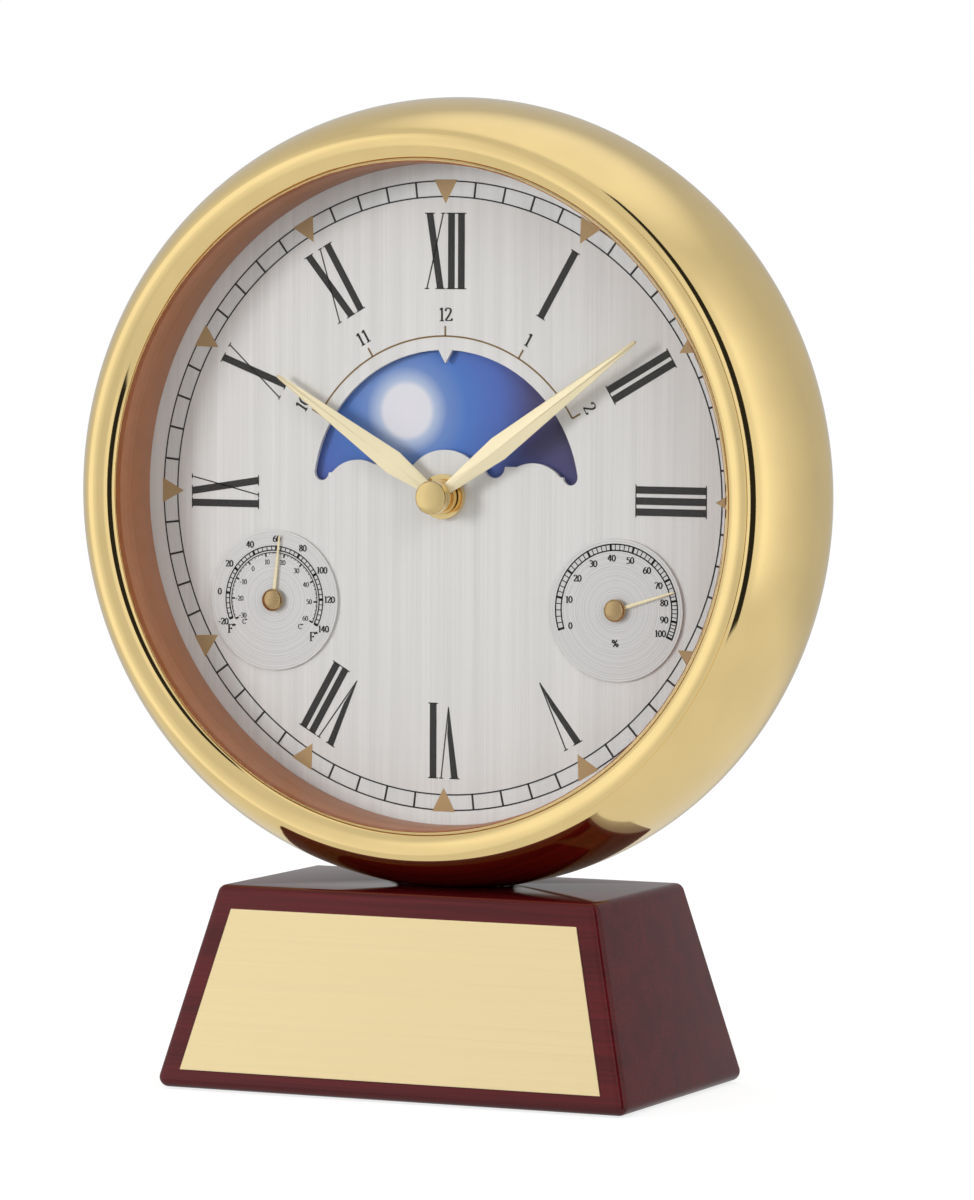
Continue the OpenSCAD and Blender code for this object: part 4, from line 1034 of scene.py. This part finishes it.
class Figures:
    """Plain serif figures drawn as with a pen: thick where the line runs up and down, thin across.

    A glyph is its width and its lines, in hundredths of its height. A line is a row of points, x and y.
    Lines of two points stay straight, longer ones become smooth curves.
    """

    STEPS: int = 4
    LINES: dict[str, tuple[int, str]] = {
        "0": (56, "28,97 9,74 7,50 9,26 28,3 47,26 49,50 47,74 28,97"),
        "1": (46, "26,0 26,99 / 26,97 10,84 / 10,2 42,2"),
        "2": (56, "7,74 11,90 26,97 43,88 44,68 30,40 6,5 / 5,5 52,5 / 50,4 55,20"),
        "3": (54, "7,80 14,93 28,97 42,86 40,66 22,54 / 22,54 42,47 47,27 37,8 19,2 5,10"),
        "4": (58, "38,98 4,31 / 4,30 55,30 / 39,0 39,98"),
        "5": (54, "16,94 48,94 / 16,95 11,56 / 10,56 25,62 42,51 47,28 35,7 17,2 4,9"),
        "6": (56, "46,96 25,83 10,57 8,30 18,7 31,3 47,14 48,42 36,58 20,56 10,44"),
        "7": (54, "5,80 8,94 / 6,94 50,94 / 50,94 22,0"),
        "8": (56, "28,97 13,86 15,66 38,44 48,22 28,3 8,22 18,44 41,66 43,86 28,97"),
        "9": (56, "10,4 31,17 46,43 48,70 38,93 25,97 9,86 8,58 20,42 36,44 46,56"),
        "-": (40, "4,36 34,36 / 4,40 34,40"),
        "F": (62, "16,0 16,99 / 4,97 58,97 / 57,98 58,76 / 16,50 44,50 / 43,60 43,40 / 4,2 32,2"),
        "C": (68, "60,72 52,92 36,98 15,84 8,50 16,17 37,2 55,10 62,26 / 60,97 60,70"),
        "o": (30, "14,102 5,93 14,84 23,93 14,102"),
        "%": (90, "68,99 22,0 / 20,97 6,75 20,53 34,75 20,97 / 70,47 56,25 70,3 84,25 70,47"),
    }

    def __init__(self, thick: float, thin: float, stretch: float) -> None:
        """Sets the pen's two widths, in heights of a figure, and how far the figures are widened."""
        self.thick, self.thin, self.stretch = thick, thin, stretch

    def smooth(self, line: Sequence[Numbers]) -> Loop:
        """Runs a curve through points: a cubic whose slope at each point follows its neighbours.

        Args:
            line: x and y of each point.

        Returns:
            The curve's points, some between each two.
        """
        p = np.asarray(line, float)
        if len(p) == 2:
            return p
        closed = bool(np.allclose(p[0], p[-1]))
        ends = (p[-2], p[1]) if closed else (2 * p[0] - p[1], 2 * p[-1] - p[-2])
        q = np.vstack([ends[0], p, ends[1]])
        t = np.linspace(0, 1, self.STEPS, endpoint=False)[:, None, None]
        a, b, c, d = q[:-3], q[1:-2], q[2:-1], q[3:]
        bend, twist = 2 * a - 5 * b + 4 * c - d, 3 * b - a - 3 * c + d
        curve = 0.5 * (2 * b + (c - a) * t + bend * t**2 + twist * t**3)
        return np.vstack([curve.transpose(1, 0, 2).reshape(-1, 2), p[-1]])

    def strokes(self, line: Sequence[Numbers]) -> list[Loop]:
        """Widens a line into four-cornered pieces that share their ends.

        Args:
            line: x and y of each point.

        Returns:
            The pieces' outlines.
        """
        p = self.smooth(line)
        run = np.gradient(p, axis=0)
        if np.allclose(p[0], p[-1]):
            run[0] = run[-1] = p[1] - p[-2]
        run /= np.linalg.norm(run, axis=1)[:, None]
        side = np.stack([-run[:, 1], run[:, 0]], -1)
        wide = (self.thin + (self.thick - self.thin) * np.abs(run[:, 1]) ** 1.5)[:, None] / 2
        left, right = p + side * wide, p - side * wide
        return [np.array([left[i], left[i + 1], right[i + 1], right[i]]) for i in range(len(p) - 1)]

    def word(self, text: str, height: float, at: Numbers, degrees: float = 0.0) -> list[Loop]:
        """Sets figures side by side, centred on a point.

        Args:
            text: the characters.
            height: their height in millimetres.
            at: x and y of the middle.
            degrees: clockwise turn about the middle.

        Returns:
            The strokes' outlines.
        """
        loops, x = [], 0.0
        for mark in text:
            width, lines = self.LINES[mark]
            for line in lines.split("/"):
                points = [[int(v) / 100 for v in point.split(",")] for point in line.split()]
                loops += [piece + [x, 0.0] for piece in self.strokes(points)]
            x += width / 100
        size = height * np.array([self.stretch, 1.0])
        return [turned((loop - [x / 2, 0.5]) * size, degrees) + np.asarray(at) for loop in loops]


@dataclass
class DialPrint:
    """What is printed on the large dial: the minute track, the markers, the numerals and the moon's scale."""

    track_out: float = 67.5
    track_in: float = 64.16
    line: float = 0.32
    tick: float = 0.46
    marker_r: float = 67.8
    marker_tip: float = 62.66
    marker_half: float = 2.7
    moon_r: float = 34.35
    moon_tick_r: float = 36.5
    moon_figure_r: float = 39.0
    moon_figure: float = 2.9
    moon_angles: Sequence[int] = range(-60, 61, 30)
    pen: Figures = field(default_factory=lambda: Figures(0.15, 0.075, 1.1))
    print_z: float = 0.035
    numerals: RomanNumerals = field(default_factory=RomanNumerals)

    def black(self) -> list[Loop]:
        """The minute track, the numerals and the moon scale's numbers."""
        loops = []
        for radius in (self.track_out, self.track_in):
            loops += [band(radius, self.line, a, a + 30, 24) for a in range(0, 360, 30)]
        minutes = [minute * 6 for minute in range(60) if minute % 5]
        loops += ticks(self.track_in, self.track_out, minutes, self.tick) + self.numerals.loops()
        for text, angle in zip(("10", "11", "12", "1", "2"), self.moon_angles):
            at = turned(np.array([0.0, self.moon_figure_r]), angle)
            loops += self.pen.word(text, self.moon_figure, at, angle)
        return loops

    def gold(self) -> list[Loop]:
        """The hour markers."""
        half, base = self.marker_half, self.marker_r
        marker = np.array([(-half, base), (half, base), (0, self.marker_tip)])
        return [turned(marker, hour * 30) for hour in range(12)]

    def brown(self) -> list[Loop]:
        """The moon scale's arc with its ticks."""
        loops = [band(self.moon_r, 0.36, a, a + 20, 12) for a in range(-60, 60, 20)]
        return loops + ticks(self.moon_r, self.moon_tick_r, self.moon_angles, 0.4)

    def build(self) -> None:
        """Adds the three printed colours."""
        for name, loops, finish, lift in (
            ("dial_print_black", self.black(), PALETTE.ink, 0.0),
            ("dial_print_gold", self.gold(), PALETTE.ink_gold, 0.01),
            ("dial_print_brown", self.brown(), PALETTE.ink_brown, 0.005),
        ):
            add_piece(slab(name, loops, 0.0, self.print_z + lift), finish)


def pointer(name: str, y: Loop, half: Loop, ring: Loop, shows: float, middle: Numbers = (0, 0)) -> Any:
    """Lofts a hand or a needle and turns it to what it shows.

    Args:
        name: the mesh's name.
        y: distance of each cross-section from the axis.
        half: half the width there.
        ring: the cross-section's points: part of half the width, and z.
        shows: clockwise turn in degrees.
        middle: x and y of the axis.

    Returns:
        The mesh.
    """
    x = half[:, None] * ring[None, :, 0]
    z = np.broadcast_to(ring[None, :, 1], x.shape)
    flat = turned(np.stack([x, np.broadcast_to(y[:, None], x.shape)], axis=-1).reshape(-1, 2), shows) + middle
    return loft(name, head_to_row(np.concatenate([flat.reshape(*x.shape, 2), z[..., None]], axis=-1)))


@dataclass
class SmallDial:
    """A thermometer or a hygrometer: its printed scale, needle and cap. Angles are clockwise from the top."""

    side: Side
    word: str
    shows: float
    radius: float = 46.6
    angle: float = 120.0
    face_z: float = 0.6
    needle_z: float = 1.1
    needle_t: float = 0.2
    needle_len: float = 14.2
    cap_r: float = 2.45
    arbor_r: float = 0.4
    humidity: Numbers = (-108.5, -79.5, -53.7, -28.6, -5.7, 16.5, 39.0, 60.3, 80.2, 98.8, 114.5)
    humidity_r: Pair = (12.75, 14.05)
    fahrenheit: Pair = (-112.0, 1.43)
    fahrenheit_r: Pair = (10.8, 11.7)
    celsius_r: float = 10.3
    units: Sequence[tuple[str, float, float, float]] = (
        ("Fo", 1.9, -10.3, -6.5), ("Fo", 1.9, 9.5, -7.7), ("Co", 1.1, -7.1, -4.9), ("Co", 1.1, 6.4, -5.6)
    )
    print_t: float = 0.03
    pen: Figures = field(default_factory=lambda: Figures(0.2, 0.11, 1.14))
    fine_pen: Figures = field(default_factory=lambda: Figures(0.17, 0.095, 1.12))

    @property
    def middle(self) -> np.ndarray:
        """The small dial's middle in the head's frame."""
        a = math.radians(self.angle) * self.side.value
        return np.array([math.sin(a), math.cos(a)]) * self.radius

    def ring(self, radii: Numbers, start: float, end: float, line: float) -> list[Loop]:
        """Two thin arcs, each in pieces of a few degrees."""
        edges = np.linspace(start, end, 12)
        return [band(r, line, a, b, 8) for r in radii for a, b in zip(edges[:-1], edges[1:])]

    def figures(self, pen: Figures, numbers: Iterable[int], high: float, at: Iterable[Loop]) -> list[Loop]:
        """Upright numbers, each around its point."""
        return [loop for text, point in zip(numbers, at) for loop in pen.word(str(text), high, point)]

    def around(self, radius: float, angles: Iterable[float]) -> list[Loop]:
        """Points at angles on a circle."""
        return [turned(np.array([0.0, radius]), a) for a in angles]

    def percent(self) -> list[Loop]:
        """The hygrometer's scale: a band of fifty fields."""
        low, high = self.humidity_r
        tens = self.humidity
        fine = np.interp(np.arange(51) * 2, np.arange(11) * 10, tens)
        loops = self.ring(self.humidity_r, tens[0], tens[-1], 0.3) + ticks(low, high, fine, 0.2)
        loops += ticks(low - 0.15, high + 0.15, tens, 0.5)
        loops += self.figures(self.pen, range(0, 101, 10), 1.42, self.around(11.15, tens))
        return loops + self.pen.word("%", 1.5, (-0.2, -7.0))

    def degrees(self) -> list[Loop]:
        """The thermometer's two scales: Fahrenheit from -20 to 140 outside, Celsius from -30 to 60 inside."""
        low, per_f = self.fahrenheit
        loops = self.ring(self.fahrenheit_r, low, low + 160 * per_f, 0.27)
        loops += ticks(10.85, 11.65, low + np.arange(41) * 4 * per_f, 0.2)
        twenties = low + np.arange(9) * 20 * per_f
        loops += ticks(10.75, 11.75, twenties, 0.55)
        loops += self.figures(self.pen, range(-20, 141, 20), 1.42, self.around(13.3, twenties))
        frost = low - 2 * per_f
        tens = frost + np.arange(10) * 18 * per_f
        loops += [band(self.celsius_r, 0.22, a, a + 18 * per_f, 8) for a in tens[:-1]]
        loops += ticks(9.9, 10.35, frost + np.arange(46) * 3.6 * per_f, 0.13)
        loops += ticks(9.5, 10.35, tens, 0.38)
        loops += self.figures(self.fine_pen, range(-30, 61, 10), 1.08, self.around(8.4, tens))
        for mark, height, x, y in self.units:
            loops += self.fine_pen.word(mark, height, (x, y))
        return loops

    def needle(self) -> Any:
        """Builds the needle: a slim tapering blade that starts under the cap, its ridge along the middle."""
        y = np.array([-1.8, -1.2, 0.0, 6.0, self.needle_len - 0.6, self.needle_len])
        half = np.array([0.32, 0.38, 0.4, 0.32, 0.2, 0.08])
        low, high = self.needle_z, self.needle_z + self.needle_t
        ring = np.array([[-1, low], [-1, high - 0.06], [0, high + 0.03], [1, high - 0.06], [1, low]])
        return pointer(f"{self.word}_needle_blade", y, half, ring, self.shows, self.middle)

    def arbor(self) -> Any:
        """Builds the needle's arbor, which goes down into the can."""
        low, high, r = self.needle_z - 4.0, self.needle_z + self.needle_t, self.arbor_r
        outline = np.array([(0, low), (r, low), (r, high), (0, high)])
        return lathe(f"{self.word}_needle_arbor", outline, Axis.DIAL, self.middle, 32)

    def cap(self) -> Any:
        """Builds the cap: a shallow dome with a rounded rim."""
        low, r = self.needle_z + self.needle_t, self.cap_r
        dome = arc((0, low + 0.3), (r, 1.0), 0, 90, 16)
        outline = np.concatenate([[[0, low], [r - 0.1, low], [r, low + 0.1]], dome])
        return lathe(f"{self.word}_cap_dome", outline, Axis.DIAL, self.middle, 64)

    def build(self) -> None:
        """Adds the print, the needle and the cap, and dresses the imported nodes."""
        word, body, needle = self.word, f"{self.word}_needle_group", f"{self.word}_needle"
        scale = self.percent() if self.side is Side.RIGHT else self.degrees()
        loops = [loop + self.middle for loop in scale]
        mesh = slab(f"{word}_print", loops, self.face_z, self.face_z + self.print_t)
        add_piece(mesh, PALETTE.ink_fine)
        add_piece(self.needle(), PALETTE.hand_gold, needle, body)
        add_piece(self.arbor(), PALETTE.steel, needle, body)
        add_piece(self.cap(), PALETTE.cap_gold, f"{word}_cap", body)
        x, y = self.middle
        face = TurnedFace(f"{word}_face_turned", "DAD9D8", 0.35, 0.4, float(x), DIAL_Z + float(y))
        dress(face, f"{word}_face")
        dress(PALETTE.steel, f"{word}_can")
        dress(PALETTE.bimetal, f"{word}_coil")


# Hands


@dataclass
class Hand:
    """A lance-shaped hand with a roof of two bevelled faces and a round collet."""

    name: str
    body: str
    length: float
    wide_at: float
    low: float
    bore: float
    collet_r: float
    shows: float
    wide: float = 5.3
    root: float = 2.2
    tip: float = 0.9
    collet_t: float = 1.3

    def blade(self) -> Any:
        """Builds the blade: half its width is a broken line from root to widest place to tip."""
        y = np.array([2.2, self.wide_at, self.length - 0.5, self.length - 0.12, self.length])
        half = np.array([self.root, self.wide, self.tip, self.tip * 0.7, self.tip * 0.25]) / 2
        ring = np.array([[-1.0, -0.62], [-1.0, -0.42], [0.0, 0.0], [1.0, -0.42], [1.0, -0.62]])
        return pointer(f"{self.name}_blade", y, half, ring + [0, self.low + self.collet_t], self.shows)

    def collet(self) -> Any:
        """Builds the collet: a ring with rounded edges."""
        low, high, bore, r = self.low, self.low + self.collet_t, self.bore, self.collet_r
        outline = rounded([(bore, low), (r, low), (r, high), (bore, high)], [0.0, 0.1, 0.15, 0.0], 4)
        return lathe(f"{self.name}_collet", outline, Axis.DIAL, around=96)

    def build(self) -> None:
        """Adds blade and collet."""
        add_piece(self.blade(), PALETTE.hand_gold, self.name, self.body)
        add_piece(self.collet(), PALETTE.gold, self.name, self.body)


@dataclass
class Hands:
    """Both hands, the cap nut, and the nut that clamps the dial."""

    both: Sequence[Hand] = (
        Hand("hour_hand", "hour_group", 46.2, 13.0, 2.1, 2.1, 3.8, 303.4),
        Hand("minute_hand", "minute_group", 57.2, 18.0, 3.7, 1.48, 3.2, 53.8),
    )
    cap_r: float = 3.6
    cap_z: Triple = (5.0, 7.2, 8.0)

    def cap_nut(self) -> Any:
        """Builds the cap nut: a straight wall, a narrow shoulder and a shallow dome, an arc of an ellipse."""
        (low, wall_top, top), r = self.cap_z, self.cap_r
        shoulder = arc((r - 0.2, wall_top), 0.2, 0, 60, 5)
        dome = arc((0, shoulder[-1, 1]), (r - 0.1, top - shoulder[-1, 1]), 0, 90, 24)
        outline = np.concatenate([[[0, low], [r, low]], shoulder, dome[1:]])
        return lathe("cap_nut", outline, Axis.DIAL, around=96)

    def build(self) -> None:
        """Adds the hands and the cap nut."""
        for hand in self.both:
            hand.build()
        add_piece(self.cap_nut(), PALETTE.gold, "hand_nut", "minute_group")
        dress(PALETTE.gold, "dial_nut")


# Movement


@dataclass
class Movement:
    """The battery movement, the moon train and the dial plate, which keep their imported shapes."""

    finishes: Sequence[tuple[Finish, str]] = (
        (PALETTE.acetal, "train_bridge rotor_bridge step_wheel second_wheel hour_wheel minute_wheel"),
        (PALETTE.acetal, "moon_ring_gear moon_transfer_wheel"),
        (PALETTE.steel, "motor_stator motor_rotor quartz_crystal battery_contacts centre_arbor"),
        (PALETTE.steel, "friction_spring centre_collar moon_arbor moon_clutch_spring moon_clutch_collar"),
        (PALETTE.brass, "shaft_bush centre_wheel third_wheel"),
        (PALETTE.knob_abs, "time_set_knob moon_set_knob"),
        (PALETTE.black_abs, "movement_front_shell"),
        (PALETTE.grey_abs, "movement_back_shell"),
        (PALETTE.board, "circuit_board"),
        (PALETTE.copper, "motor_coil"),
        (PALETTE.sleeve, "battery_cell"),
        (PALETTE.sky, "moon_disc"),
        (PALETTE.dial, "dial_plate"),
    )

    def build(self) -> None:
        """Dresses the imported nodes."""
        for finish, nodes in self.finishes:
            dress(finish, nodes)


# Studio


@dataclass
class Studio:
    """The camera, the floor, the world that the metal mirrors, and the lamps."""

    azimuth: float = 24.66
    elevation: float = 2.47
    distance: float = 20.39 * 67.5
    yaw: float = 0.377
    pitch: float = -0.924
    roll: float = -0.206
    focal_px: float = 6420.0
    picture_px: int = 1200
    sensor: float = 36.0
    middle: Numbers = (0.0, DIAL_Y, DIAL_Z)
    floor_half: float = 3.0
    lamp_distance: float = 1.2
    walls: Sequence[Pair] = (
        (-180, 0.5), (-132, 0.54), (-110, 0.6), (-88, 0.68), (-76, 0.76), (-62, 1.0), (-36, 1.0), (-22, 0.8),
        (-3, 0.64), (24, 0.64), (34, 0.87), (46, 0.9), (74, 0.8), (83, 0.84), (89, 1.0), (93, 1.0),
        (100, 0.9), (109, 0.79), (122, 0.67), (134, 0.59), (146, 0.52), (180, 0.5),
    )
    ceiling: Sequence[Pair] = (
        (-180, 0.54), (-120, 0.56), (-80, 0.64), (90, 0.68), (130, 0.62), (180, 0.54)
    )
    wall_window: Triple = (-90, 42, 24)
    lower_window: Triple = (-120, -20, 12)
    lower_level: float = 0.69
    glow_at: Pair = (180, 72)
    glow_angles: Pair = (36, 14)
    glow_level: float = 0.9
    screen_sides: Triple = (48, 74, 1.5)
    screen_ends: Triple = (-28, 72, 3)
    screen_level: float = 0.02
    mirror_gain: float = 1.03
    room_light: float = 0.62
    floor_glow: float = 0.78
    floor_greys: Pair = (0.7, 0.35)

    def camera(self) -> None:
        """Places the camera: an orbit about the dial's middle, then its own small roll, yaw and pitch."""
        back, right = self.direction(self.azimuth, self.elevation), self.direction(self.azimuth + 90, 0)
        axes = np.stack([right, np.cross(back, right), -back])
        r, y, p = (math.radians(v) for v in (self.roll, self.yaw, self.pitch))
        rolled = np.array([[math.cos(r), -math.sin(r), 0], [math.sin(r), math.cos(r), 0], [0, 0, 1]])
        yawed = np.array([[math.cos(y), 0, -math.sin(y)], [0, 1, 0], [math.sin(y), 0, math.cos(y)]])
        pitched = np.array([[1, 0, 0], [0, math.cos(p), -math.sin(p)], [0, math.sin(p), math.cos(p)]])
        rows = pitched @ yawed @ rolled @ axes
        matrix = np.eye(4)
        matrix[:3, :3] = np.stack([rows[0], rows[1], -rows[2]], axis=1)
        matrix[:3, 3] = (back * self.distance + self.middle) * MM
        data = bpy.data.cameras.new("camera")
        data.sensor_width = self.sensor
        data.lens = self.focal_px * self.sensor / self.picture_px
        data.clip_start, data.clip_end = 0.05, 20.0
        camera = bpy.data.objects.new("camera", data)
        camera.matrix_world = Matrix(matrix.tolist())
        bpy.context.scene.collection.objects.link(camera)
        bpy.context.scene.camera = camera

    def world(self) -> None:
        """White for the camera, plain light for matt surfaces, and soft boxes for whatever mirrors.

        The mirrored room is a function of the direction alone. Azimuth a is 0 towards -y and grows towards
        +x, elevation e grows upwards. A curve of a gives the level at mid height, and a smooth window of e
        hands over to a plain ceiling. A lower wall, a top light and a black screen are laid over both, in
        this order.
        """
        world = bpy.data.worlds.new("studio")
        tree = empty_tree(world)
        way = add_node(tree, "ShaderNodeTexCoord").outputs["Generated"]
        part = add_node(tree, "ShaderNodeSeparateXYZ", {0: way}).outputs
        a = number(tree, "ARCTAN2", part["X"], number(tree, "MULTIPLY", part["Y"], -1.0))
        e = number(tree, "ARCSINE", part["Z"])
        turn = spread(tree, a, -math.pi, math.pi)
        ceiling, walls = (
            ramp(tree, turn, [((az + 180) / 360, (v, v, v, 1.0)) for az, v in curve], smooth)
            for curve, smooth in ((self.ceiling, True), (self.walls, False))
        )
        level = self.over(tree, ceiling, walls, self.window(tree, e, *self.wall_window))
        level = self.over(tree, level, self.lower_level, self.window(tree, e, *self.lower_window))
        top = vector(tree, "DOT_PRODUCT", way, tuple(self.direction(*self.glow_at)))
        wide, narrow = (math.cos(math.radians(angle)) for angle in self.glow_angles)
        level = self.over(tree, level, self.glow_level, spread(tree, top, wide, narrow, smooth=True))
        sides, ends = self.window(tree, a, *self.screen_sides), self.window(tree, e, *self.screen_ends)
        level = self.over(tree, level, self.screen_level, number(tree, "MULTIPLY", sides, ends))
        path = add_node(tree, "ShaderNodeLightPath").outputs
        seen, mirrored, lit = (
            add_node(tree, "ShaderNodeBackground", {"Color": colour, "Strength": power}).outputs["Background"]
            for colour, power in ((WHITE, 1.0), (level, self.mirror_gain), (WHITE, self.room_light))
        )
        soft = mixed(tree, path["Is Glossy Ray"], lit, mirrored)
        add_node(tree, "ShaderNodeOutputWorld", {"Surface": mixed(tree, path["Is Camera Ray"], soft, seen)})
        bpy.context.scene.world = world

    def over(self, tree: Any, under: Any, level: Any, mask: Any) -> Any:
        """Lays a level over another where a mask is 1."""
        return add_node(tree, "ShaderNodeMix", {0: mask, 2: under, 3: level}).outputs[0]

    def window(self, tree: Any, angle: Any, start: float, end: float, soft: float) -> Any:
        """Socket that is 1 between two angles and 0 outside.

        Args:
            tree: the node tree.
            angle: socket with the angle in radians.
            start: lower angle in degrees.
            end: upper angle in degrees.
            soft: width in degrees of the smooth change at each.

        Returns:
            The socket.
        """
        sides = []
        for edge, low in ((start, 0.0), (end, 1.0)):
            first, last = math.radians(edge - soft / 2), math.radians(edge + soft / 2)
            sides.append(spread(tree, angle, first, last, low, 1.0 - low, True))
        return number(tree, "MULTIPLY", *sides)

    def floor(self) -> None:
        """A white floor with the clock's faint shadow. Metal sees the world's own lower half instead."""
        material = bpy.data.materials.new("floor_white")
        tree = empty_tree(material)
        paper, shade = (
            add_node(tree, "ShaderNodeBsdfDiffuse", {"Color": (v, v, v, 1.0)}).outputs["BSDF"]
            for v in self.floor_greys
        )
        glow = add_node(tree, "ShaderNodeEmission", {"Color": WHITE, "Strength": self.floor_glow})
        sum_of = {0: shade, 1: glow.outputs["Emission"]}
        lifted = add_node(tree, "ShaderNodeAddShader", sum_of).outputs["Shader"]
        seen = add_node(tree, "ShaderNodeLightPath").outputs["Is Camera Ray"]
        add_node(tree, "ShaderNodeOutputMaterial", {"Surface": mixed(tree, seen, paper, lifted)})
        size = self.floor_half
        mesh = bpy.data.meshes.new("floor")
        corners = [(-size, -size, 0), (size, -size, 0), (size, size, 0), (-size, size, 0)]
        mesh.from_pydata(corners, [], [(0, 1, 2, 3)])
        mesh.materials.append(material)
        floor = bpy.data.objects.new("floor", mesh)
        floor.visible_glossy = False
        bpy.context.scene.collection.objects.link(floor)

    def direction(self, azimuth: float, elevation: float) -> np.ndarray:
        """The direction to an azimuth and an elevation in degrees, one long."""
        az, el = math.radians(azimuth), math.radians(elevation)
        return np.array([math.sin(az) * math.cos(el), -math.cos(az) * math.cos(el), math.sin(el)])

    def lamp(self, name: str, azimuth: float, elevation: float, size: Pair, watts: float) -> None:
        """Adds a soft lamp that faces the dial's middle from lamp_distance.

        Args:
            name: its name.
            azimuth: where it stands, in degrees around from the front.
            elevation: and in degrees up.
            size: its width and height in metres.
            watts: its power.
        """
        data = bpy.data.lights.new(name, "AREA")
        data.shape = "RECTANGLE"
        data.size, data.size_y = size
        data.energy = watts
        lamp = bpy.data.objects.new(name, data)
        back = Vector(self.direction(azimuth, elevation) * self.lamp_distance)
        lamp.location = Vector(self.middle) * MM + back
        lamp.rotation_euler = (-back).to_track_quat("-Z", "Y").to_euler()
        lamp.visible_camera = lamp.visible_glossy = False
        bpy.context.scene.collection.objects.link(lamp)

    def build(self) -> None:
        """Sets up the studio."""
        bpy.context.scene.view_settings.view_transform = "Standard"
        self.camera()
        self.world()
        self.floor()
        self.lamp("key", -38, 10, (0.3, 0.4), 8)
        self.lamp("fill", 55, 25, (0.6, 0.9), 5)


def main() -> None:
    """Builds the clock and its studio."""
    logging.basicConfig(level=logging.INFO, format="%(name)s: %(message)s")
    case = Case()
    case.build()
    Plinth().build(case.drum_outline(0.0))
    Movement().build()
    DialPrint().build()
    SmallDial(Side.LEFT, "thermometer", 6.0).build()
    SmallDial(Side.RIGHT, "hygrometer", 72.6).build()
    Hands().build()
    Studio().build()


if __name__ == "__main__":
    main()
